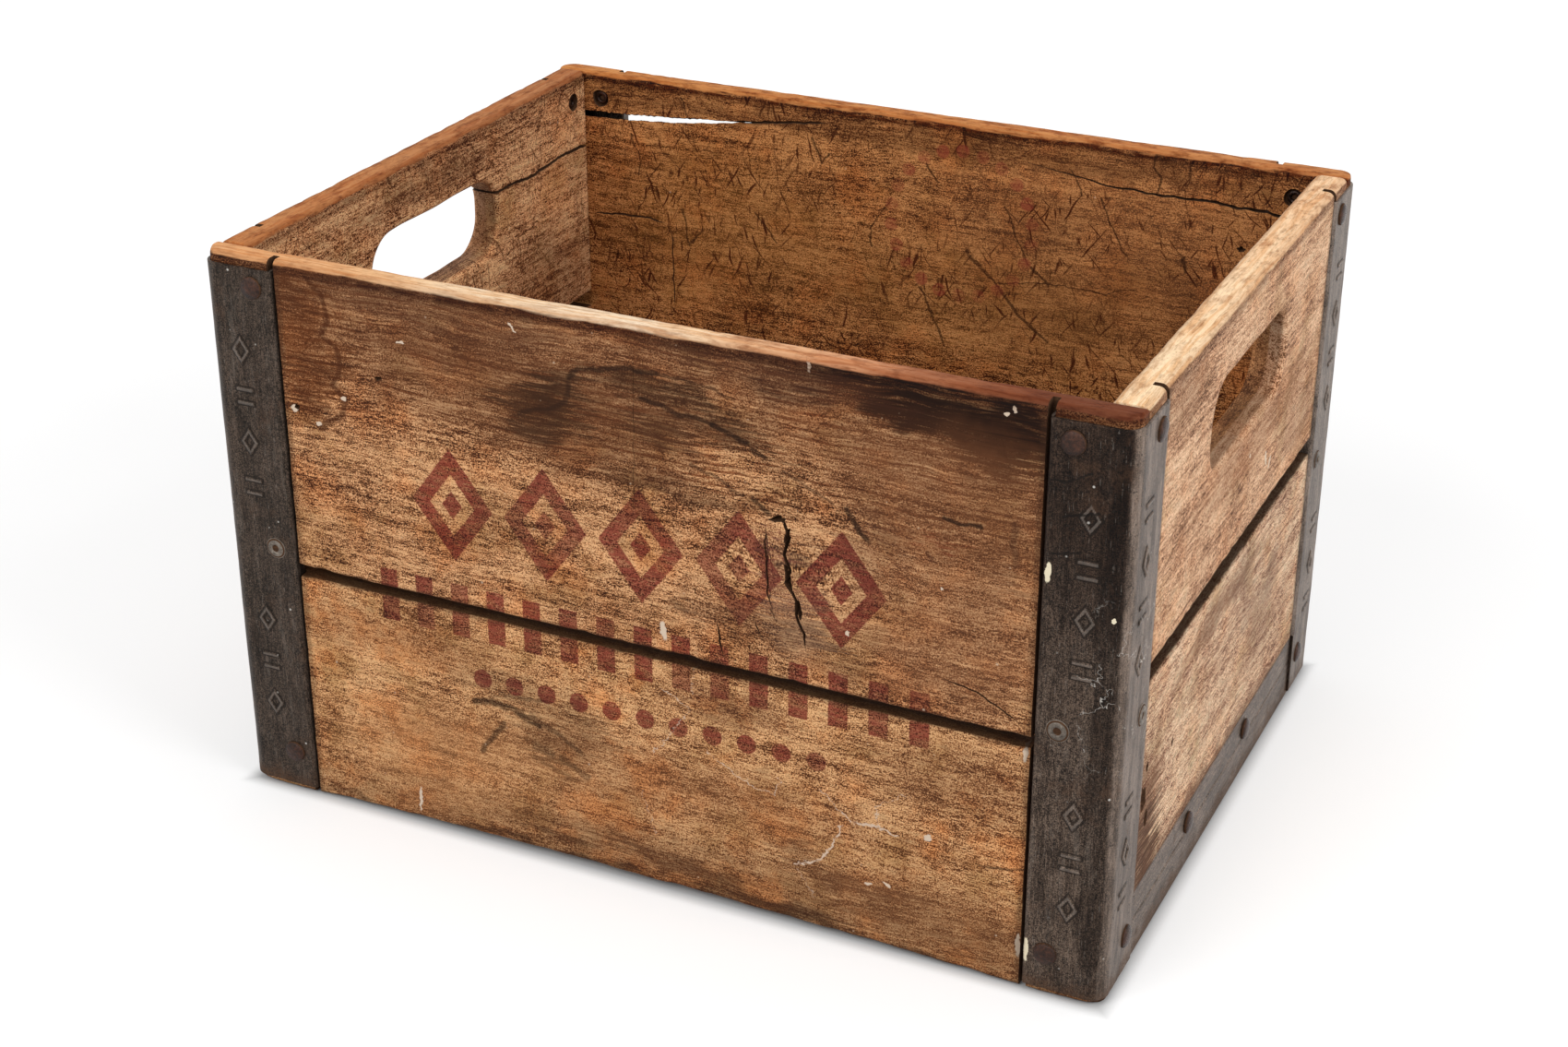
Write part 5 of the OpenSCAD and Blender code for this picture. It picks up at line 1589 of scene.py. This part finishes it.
    def build(self) -> None:
        """Sets up the whole studio."""
        self.camera()
        self.surround()
        self.floor()
        self.lamp("lamp_right", (2.4, -0.5, 1.5), 32.0, 1.4)
        self.lamp("lamp_front", (-0.6, -2.2, 1.9), 34.0, 1.6)
        self.lamp("lamp_above", (0.2, 0.3, 2.6), 12.0, 1.8)


# ---------------------------------------------------------------- the crate

@dataclass
class MilkCrate:
    """The whole crate: it makes the finishes, then each sub-assembly in turn."""

    finishes: dict[str, bpy.types.Material] = field(default_factory=dict)

    def mix_finishes(self) -> None:
        """Makes every finish of the crate."""
        kerf_x = (-(HALF_L - KERF_FAR), HALF_L - KERF_FAR)
        kerf_y = (-(HALF_W - KERF_FAR), HALF_W - KERF_FAR)
        inside_tones = ((88, 54, 32), (148, 102, 66), (190, 142, 98))
        # the colour of the sooty marks on the wood
        soot_and_shade = (40, 24, 14)
        woods = [
            Wood("front_upper_wood", Facing.FRONT, (106, 68, 42), (180, 126, 84), (222, 172, 124), seed=1.0, inner=inside_tones,
                 dirt=0.5, scratch=0.16, rim=((-221, (236, 186, 134)), (-180, (246, 208, 160)), (-110, (255, 236, 202)), (0, (255, 240, 212)), (45, (255, 232, 196)), (90, (232, 190, 148)), (122, (230, 180, 138)), (155, (202, 146, 108)), (190, (158, 102, 70)), (221, (122, 74, 50))),
                 rim_side_wear_and_shade=0.35, rim_dirt=(0.4, 0.7), rim_rag=2.6, rim_line=0.9, warm=0.4, punch=1.15, edges=(SIDE_SEAM[1],), kerfs=kerf_x,
                 knot=(70.0, 184.0, 5.0), ink=Ink(), rings=(196.0, 214.0, 0.85),
                 stains_and_shade=(StainAndShade((-10, 268), (225, 34), (100, 62, 38), 0.62, soft=0.3),
                         StainAndShade((-60, 236), (90, 24), (98, 60, 36), 0.5, soft=0.25),
                         StainAndShade((-20, 222), (56, 20), (88, 52, 30), 0.45, soft=0.25),
                         StainAndShade((-171, 240), (18, 38), (100, 56, 26), 0.7, soft=0.2), StainAndShade((-174, 262), (9, 9), (66, 34, 16), 0.6, soft=0.5),
                         StainAndShade((-170, 230), (8, 7), (66, 34, 16), 0.6, soft=0.5), StainAndShade((-169, 213), (9, 6), (66, 34, 16), 0.6, soft=0.5),
                         StainAndShade((-40, 240), (11, 12), (46, 28, 18), 0.7, turn=40, soft=0.5),
                         StainAndShade((-54, 226), (16, 6), (58, 36, 24), 0.5, turn=-20, soft=0.5),
                         StainAndShade((12, 229), (58, 25), (44, 26, 14), 0.45, turn=-10, soft=0.1, ring=0.07), StainAndShade((-46, 232), (22, 14), (62, 38, 22), 0.7, turn=20, soft=0.2),
                         StainAndShade((16, 250), (40, 5), (40, 24, 13), 0.6, turn=-6, soft=0.25), StainAndShade((12, 234), (14, 9), (70, 42, 25), 0.7, soft=0.2),
                         StainAndShade((44, 238), (20, 6), (54, 32, 18), 0.6, turn=-16, soft=0.25), StainAndShade((64, 264.6), (3.5, 2.5), (34, 20, 13), 0.8, soft=0.4),
                         StainAndShade((22, 208), (26, 7), (70, 42, 26), 0.45, turn=-6, soft=0.5),
                         StainAndShade((140, 269), (58, 12), (34, 15, 6), 1.0, turn=-3, soft=0.25),
                         StainAndShade((168, 258), (28, 17), (46, 24, 11), 0.95, soft=0.35), StainAndShade((156, 264), (46, 10), (26, 11, 4), 1.0, soft=0.25), StainAndShade((150, 226), (56, 34), (112, 72, 46), 0.7, soft=0.4),
                         StainAndShade((150, 160), (44, 34), (120, 80, 54), 0.6, soft=0.5),
                         StainAndShade((64, 268), (62, 8), (70, 42, 28), 0.6, turn=-2, soft=0.4),
                         StainAndShade((-96, 268), (60, 9), (82, 50, 32), 0.5, soft=0.4),
                         StainAndShade((108, 196), (16, 20), (92, 60, 46), 0.4, soft=0.5),
                         StainAndShade((66, 180), (5, 22), (128, 82, 70), 0.6, soft=0.3), StainAndShade((77, 188), (6, 10), (88, 66, 54), 0.6, soft=0.4),
                         StainAndShade((76, 158), (12, 16), (124, 100, 86), 0.5, soft=0.5),
                         StainAndShade((66, 152), (24, 10), (70, 46, 34), 0.5, soft=0.5),
                         StainAndShade((36, 150), (16, 6), (76, 48, 34), 0.4, turn=-30, soft=0.5),
                         StainAndShade((166, 196), (5, 14), (92, 58, 38), 0.5, soft=0.5),
                         StainAndShade((100, 137), (30, 5), (84, 52, 36), 0.4, soft=0.5),
                         StainAndShade((140, 206), (4, 3), (120, 56, 34), 0.6, soft=0.4)),
                 strokes=((((-33, 250), (-28, 254), (-16, 256.8), (-2, 259.6), (10, 259.5)), 1.1, (38, 22, 13), 0.8),
                          (((10, 259.5), (22, 259), (35.5, 257.2), (47, 254.4)), 0.8, (50, 30, 19), 0.65),
                          (((-33.3, 246.8), (-33.5, 241), (-34.8, 237.9), (-39.9, 234.6), (-58.7, 228.8)), 1.2, (48, 29, 18), 0.7),
                          (((1.5, 246.4), (12, 245), (21.4, 242.2), (28.4, 243), (35.3, 241.5)), 1.2, (40, 23, 14), 0.75),
                          (((35.3, 241.5), (43.4, 238), (52.6, 235.8)), 1.3, (34, 19, 11), 0.85), (((54.9, 232.9), (59.5, 231.5)), 1.3, (36, 20, 12), 0.85),
                          (((25.7, 220.2), (37.4, 216.8), (49, 211.1)), 0.9, (58, 37, 25), 0.6),
                          (((-165.4, 273.4), (-158.6, 267.5), (-155.9, 253.9), (-160, 247), (-152.1, 242.2), (-151.2, 230.3), (-156, 224), (-149.3, 218), (-153.2, 208.2), (-164.9, 201.4)), 1.5, (74, 38, 17), 0.75),
                          (((61.2, 196), (61.4, 177), (62.2, 164)), 0.4, (52, 32, 24), 0.8), (((63.8, 160), (65.1, 155)), 0.5, (52, 32, 24), 0.8),
                          (((98, 214.4), (103, 208), (107.5, 202)), 1.3, (40, 24, 15), 0.85),
                          (((141.6, 219.4), (150, 218.6), (157.7, 219)), 1.0, (34, 20, 12), 0.85),
                          (((54.8, 210.6), (62, 204.7)), 1.4, (40, 24, 15), 0.8),
                          (((70, 226), (84, 219), (92, 216)), 0.8, (58, 36, 24), 0.6),
                          (((136.5, 199), (134.5, 202)), 1.4, (74, 42, 28), 0.6), (((172.2, 222), (172.5, 205)), 1.6, (70, 44, 30), 0.5),
                          (((15, 152), (22, 148.5)), 2.0, (74, 48, 32), 0.5)),
                 flecks=(Fleck((10.5, 137.0), (1.6, 4.6), 8), Fleck((-150.5, 218.0), (1.5, 1.0)), Fleck((-178.0, 208.6), (1.9, 1.7)),
                         Fleck((-165.0, 203.0), (1.4, 0.9)), Fleck((80.0, 277.0), (0.9, 4.0), 12), Fleck((169.6, 273.0), (1.0, 1.8), 20),
                         Fleck((166.2, 270.6), (1.3, 0.9)), Fleck((186.7, 205.8), (1.1, 4.5)), Fleck((98.9, 156.4), (0.8, 1.6)), Fleck((141.0, 187.0), (0.7, 0.7)),
                         Fleck((-118.0, 251.0), (2.4, 0.6), 6), Fleck((-60.0, 268.0), (2.6, 0.6), -50))),
            Wood("front_lower_wood", Facing.FRONT, (118, 76, 46), (188, 133, 87), (226, 176, 125), seed=2.3, inner=inside_tones,
                 dirt=0.55, scratch=0.14, band=0.8, punch=1.3, edges=(SIDE_SEAM[0], 0.5), kerfs=kerf_x, ink=Ink(),
                 stains_and_shade=(StainAndShade((-51.5, 53.7), (12, 5), soot_and_shade, 0.7, turn=-30, soft=0.4), StainAndShade((-66, 86), (27, 6), soot_and_shade, 0.4, turn=-8, soft=0.5), StainAndShade((-50, 68), (20, 7), soot_and_shade, 0.5, turn=-30, soft=0.5),
                         # the broad one at (40, 8) takes the board darker towards its foot
                         StainAndShade((-32, 78), (12, 16), (74, 48, 32), 0.5, turn=20, soft=0.5), StainAndShade((40, 8), (230, 22), (92, 60, 38), 0.6, soft=0.6), StainAndShade((0, 56), (120, 18), (140, 96, 62), 0.4, soft=0.6),
                         StainAndShade((150, 96), (40, 18), (118, 80, 54), 0.4, soft=0.6), StainAndShade((-110, 40), (50, 26), (206, 152, 100), 0.3, soft=0.6),
                         StainAndShade((80, 38), (18, 8), (84, 54, 36), 0.5, turn=-40, soft=0.5), StainAndShade((44, 104), (30, 8), (100, 66, 48), 0.45, soft=0.5),
                         StainAndShade((-130, 100), (50, 12), (128, 84, 52), 0.4, soft=0.5), StainAndShade((140, 26), (50, 18), (122, 82, 52), 0.45, soft=0.5),
                         StainAndShade((12, 16), (40, 4), (84, 52, 32), 0.7, turn=-4, soft=0.5), StainAndShade((56, 8), (40, 4), (62, 38, 24), 0.8, turn=-3, soft=0.5),
                         StainAndShade((-40, 13), (16, 3), (70, 44, 28), 0.6, soft=0.5), StainAndShade((112, 27), (30, 4), (104, 68, 44), 0.5, soft=0.5),
                         # the last one darkens the board along its foot: painted shade where it meets the floor
                         StainAndShade((0, 2.5), (180, 2.5), (54, 34, 22), 0.7, soft=0.4)),
                 strokes=((((-60, 76), (-46, 70), (-34, 62)), 1.2, (46, 30, 20), 0.5),
                          (((-90.6, 76), (-81, 77.6), (-69, 76.6), (-56, 71.3)), 1.9, (38, 23, 13), 0.8), (((-44, 57), (-36, 52), (-31, 50)), 1.8, (44, 30, 20), 0.5),
                          (((-58, 60), (-50, 57.5)), 2.2, (44, 30, 20), 0.5),
                          (((-87.3, 48.9), (-82.1, 58.4), (-74.1, 67.8)), 1.5, (44, 27, 17), 0.7),
                          (((-76.7, 83.2), (-52.7, 84.7)), 0.8, (56, 36, 24), 0.6), (((162.6, 56.6), (183.6, 60.4)), 0.7, (52, 32, 20), 0.7)),
                 flecks=(Fleck((-124.0, 13.0), (0.9, 6.8), -4), Fleck((181.2, 117.9), (1.2, 3.8)), Fleck((182.0, 21.3), (1.3, 6.0)),
                         Fleck((119.7, 34.6), (2.2, 0.8), -25),
                         Fleck((138.7, 64.6), (1.5, 2.0)), Fleck((110.9, 32.4), (2.0, 0.7), 30)),
                 threads=((((3.9, 72), (23.4, 99.9), (8.5, 107.7)), 0.26, 0.75), (((25.8, 128.4), (23.9, 107.4)), 0.2, 0.5),
                          (((30.6, 81.1), (40.5, 74.6), (54.1, 67.8), (63.9, 66.6), (68.8, 74.4), (65.6, 75.5)), 0.28, 0.85),
                          (((87, 75.4), (99.1, 64.6)), 0.24, 0.7), (((97.1, 66), (103, 62), (111.1, 64), (124.2, 61.2)), 0.55, 1.0),
                          (((113.2, 73.6), (115.9, 62.8)), 0.25, 0.8), (((113.2, 73.6), (129.5, 83.9)), 0.22, 0.7),
                          (((96.8, 58), (93.1, 47.2), (86.5, 38.1), (75.6, 32.4)), 0.55, 1.0), (((76.3, 30.5), (85, 18.2)), 0.2, 0.45),
                          (((-3, 51.1), (4.2, 28.8)), 0.24, 0.35))),
            Wood("back_upper_wood", Facing.BACK, (114, 77, 50), (180, 132, 92), (214, 168, 124), seed=3.1, warm=0.35, inner=((88, 51, 25), (158, 101, 57), (202, 143, 88)),
                 dirt=0.5, scratch=0.3, inner_scratch=0.95, punch=1.15, rim=((-220, (214, 152, 90)), (220, (204, 144, 90))), rim_side_wear_and_shade=0.2, rim_rag=6.0, rim_line=1.0, rim_dirt=(1.0, 1.0), edges=(SIDE_SEAM[1],), kerfs=kerf_x, ring=True,
                 gouges=((((23, 210), (38, 197), (54, 179), (71, 166.5)), 0.9), (((45, 238), (51, 222), (58, 208), (70, 198)), 0.5),
                         (((-2, 185), (5, 171), (13, 156)), 0.7), (((0, 254), (6.5, 245)), 0.6), (((-101, 213), (-87, 198)), 0.5),
                         (((-145, 272), (-142, 262)), 0.6), (((-66, 260), (-60, 246), (-56, 252)), 0.6), (((-145, 207), (-141, 187), (-133, 198)), 0.6),
                         (((42, 195), (68, 199), (102, 198.6), (118, 204)), 0.35), (((124, 277), (123, 270), (127, 265), (126, 256)), 0.7),
                         (((142.6, 276), (141, 268)), 0.8), (((141.5, 225), (143, 217)), 0.8), (((-20, 232), (-32, 214), (-30, 204)), 0.5),
                         (((80, 262), (86, 250)), 0.5), (((-176, 246), (-170, 232), (-172, 224)), 0.5), (((96, 250), (108, 226), (112, 222)), 0.5)),
                 inner_stains=(StainAndShade((110, 222), (100, 60), (190, 132, 86), 0.3, soft=0.6), StainAndShade((-120, 200), (70, 40), (142, 98, 46), 0.4, soft=0.6), StainAndShade((40, 180), (90, 30), (128, 90, 42), 0.35, soft=0.6),
                               StainAndShade((60, 232), (26, 18), soot_and_shade, 0.3, soft=0.5), StainAndShade((0, 266), (230, 6), (76, 42, 20), 0.5, soft=0.4))),
            Wood("back_lower_wood", Facing.BACK, (118, 80, 53), (184, 136, 96), (218, 172, 128), seed=4.4, warm=0.35, inner=((92, 54, 28), (166, 108, 64), (208, 150, 98)),
                 dirt=0.5, scratch=0.3, inner_scratch=0.95, punch=1.15, edges=(SIDE_SEAM[0], 0.5), kerfs=kerf_x,
                 gouges=((((17, 144), (22, 120)), 0.6), (((60, 118), (88, 96)), 0.6))),
            Wood("left_upper_wood", Facing.LEFT, (112, 75, 51), (180, 133, 97), (214, 168, 130), seed=5.2, warm=0.3, thick=END_T, inner=((118, 72, 45), (202, 142, 98), (240, 184, 136)),
                 dirt=0.55, scratch=0.3, inner_scratch=0.7, punch=1.2, rim=((-150, (200, 142, 90)), (150, (190, 134, 88))), rim_rag=5.0, rim_dirt=(0.8, 0.8), edges=(END_SEAM[1],), kerfs=kerf_y,
                 inner_stains=(StainAndShade((0, 262), (60, 9), (74, 42, 24), 0.5, soft=0.5), StainAndShade((-100, 200), (46, 30), (116, 74, 46), 0.4, soft=0.5), StainAndShade((112, 172), (50, 30), (92, 58, 35), 0.5, soft=0.5))),
            Wood("left_lower_wood", Facing.LEFT, (112, 75, 51), (178, 131, 95), (212, 166, 128), seed=6.7, warm=0.3, thick=END_T, inner=((82, 49, 30), (141, 92, 60), (178, 126, 87)),
                 dirt=0.5, scratch=0.3, inner_scratch=0.6, edges=(END_SEAM[0], 11.0), kerfs=kerf_y),
            Wood("right_upper_wood", Facing.RIGHT, (134, 93, 65), (205, 157, 121), (233, 193, 157), seed=7.5, tint=(255, 250, 247), thick=END_T, inner=inside_tones, band=1.0,
                 dirt=0.5, scratch=0.14, warm=0.25, punch=0.85, rim=((-150, (255, 230, 192)), (150, (248, 214, 174))), rim_side_wear_and_shade=0.3, rim_dirt=(0.6, 0.8), rim_rag=3.0, edges=(END_SEAM[1],), kerfs=kerf_y,
                 stains_and_shade=(StainAndShade((20, 196), (90, 12), (142, 96, 62), 0.5, soft=0.6), StainAndShade((100, 170), (30, 16), (120, 82, 56), 0.45, soft=0.5),
                         StainAndShade((-100, 262), (30, 14), (110, 74, 48), 0.45, soft=0.5)),
                 flecks=(Fleck((40.0, 176.0), (1.2, 4.4), 20), Fleck((48.0, 171.0), (1.2, 3.4), -30), Fleck((10.0, 190.0), (1.0, 0.8)))),
            Wood("right_lower_wood", Facing.RIGHT, (142, 98, 72), (221, 172, 138), (244, 206, 172), seed=8.8, tint=(255, 250, 247), thick=END_T, inner=inside_tones, band=1.1,
                 dirt=0.75, scratch=0.25, warm=0.25, punch=1.4, edges=(END_SEAM[0], 36.0), kerfs=kerf_y,
                 stains_and_shade=(StainAndShade((30, 108), (16, 30), (120, 92, 78), 0.45, turn=30, soft=0.5), StainAndShade((-122, 62), (24, 40), (104, 66, 42), 0.85, turn=4, soft=0.3), StainAndShade((-118, 54), (16, 26), (64, 38, 23), 0.8, turn=6, soft=0.35),
                         StainAndShade((0, 38), (125, 5), (96, 62, 42), 0.7, soft=0.5), StainAndShade((-20, 124), (60, 6), (112, 76, 54), 0.6, turn=3, soft=0.4), StainAndShade((70, 100), (18, 12), (112, 86, 72), 0.6, turn=20, soft=0.5), StainAndShade((-4, 128), (40, 9), (126, 92, 70), 0.5, soft=0.5),
                         StainAndShade((60, 76), (24, 16), (132, 100, 82), 0.4, soft=0.5))),
            Wood("slat_wood_worn", Facing.UNDER, (106, 74, 48), (164, 120, 84), (200, 156, 114), seed=9.9, thick=SLAT_T, inner=((88, 58, 36), (148, 104, 68), (184, 138, 96)),
                 dirt=0.6, scratch=0.3, inner_scratch=0.6),
        ]
        for wood in woods:
            self.finishes[wood.name] = wood.make()
        # the front angles take darker tones than the back angles and the strips: painted shade on the front legs, which
        # reflect darker surroundings
        for other in (CutWood("cut_wood"), Zinc("zinc_front_left", (34, 28, 23), (84, 70, 60), end_leg_painted_light=0.5), Zinc("zinc_front_right", (42, 33, 27), (106, 90, 78), soot_and_shade=True, end_leg_painted_light=0.7, webs=True,
                                                  chips=(Fleck((187.2, 205.5), (1.3, 4.6), -4), Fleck((186.0, 21.3), (1.3, 6.0)), Fleck((216.0, 190.0), (0.8, 1.4)))),
                      Zinc("zinc_back", (54, 45, 39), (120, 107, 97), end_leg_painted_light=0.65), Zinc("zinc_strip", (58, 49, 42), (132, 114, 101), along_z=False),
                      Rust("rivet_rust", (24, 16, 12), (52, 33, 25), (86, 52, 38), gloss=0.28), Rust("rivet_grey", (58, 51, 45), (110, 100, 90), (150, 138, 124), gloss=0.2),
                      Rust("nail_rust", (40, 32, 27), (76, 58, 46), (106, 78, 58))):
            self.finishes[other.name] = other.make()

    def rivets(self) -> None:
        """Builds the corner rivets, three to a leg, and the strips' rivets."""
        use = self.finishes
        for sx, sy, name in ((-1, -1, "front_left"), (1, -1, "front_right"), (-1, 1, "back_left"), (1, 1, "back_right")):
            made = []
            for k, z in enumerate(RIVET_Z):
                head = Head.DISHED if k == 1 else Head.DOMED
                made.append(Rivet((sx * (HALF_L - RIVET_IN), sy * (HALF_W + STEEL_T), z), (0, sy), STEEL_T + SIDE_T - 2.5, head, 500 + 7 * k + sx))
                made.append(Rivet((sx * (HALF_L + STEEL_T), sy * (HALF_W - RIVET_IN), z), (sx, 0), STEEL_T + END_T - 2.5, head, 530 + 7 * k + sy))
            RivetSet(f"corner_rivets_{name}", use["rivet_rust"], use["rivet_grey"], use["cut_wood"], made).build()
        for sx, name in ((-1, "left"), (1, "right")):
            made = [Rivet((sx * HALF_L, sy * 47.0, 25.5), (sx, 0), END_T - 2.5, Head.DOMED, 560 + sy + sx) for sy in (-1, 1)]
            RivetSet(f"strip_rivets_{name}", use["rivet_rust"], use["rivet_grey"], use["cut_wood"], made).build()

    def nails(self) -> None:
        """Gives the CAD's own slat nails their rusted finish."""
        for node in ("slat_nails_left", "slat_nails_right"):
            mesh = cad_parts[node].data
            mesh.materials.clear()
            mesh.materials.append(self.finishes["nail_rust"])

    def build(self) -> None:
        """Builds the crate."""
        self.mix_finishes()
        use = self.finishes
        Side(Facing.FRONT, use["front_upper_wood"], use["front_lower_wood"], use["cut_wood"], 110).build()
        Side(Facing.BACK, use["back_upper_wood"], use["back_lower_wood"], use["cut_wood"], 140).build()
        End(Facing.LEFT, use["left_upper_wood"], use["left_lower_wood"], use["cut_wood"], 170).build()
        End(Facing.RIGHT, use["right_upper_wood"], use["right_lower_wood"], use["cut_wood"], 200).build()
        Floorboards(use["slat_wood_worn"]).build()
        for k, (sx, sy, name) in enumerate(((-1, -1, "front_left"), (1, -1, "front_right"), (-1, 1, "back_left"), (1, 1, "back_right"))):
            steel = use["zinc_back"] if sy > 0 else use["zinc_" + name]
            CornerAngle(f"corner_angle_{name}", sx, sy, steel, 400 + 5 * k).build()
        for sx, name in ((-1, "left"), (1, "right")):
            EndStrip(f"end_strip_{name}", sx, use["zinc_strip"], 450 + sx).build()
        self.rivets()
        self.nails()


def main() -> None:
    """Builds the studio and the crate."""
    logging.basicConfig(level=logging.INFO, format="%(message)s")
    Studio().build()
    MilkCrate().build()


if __name__ == "__main__":
    main()
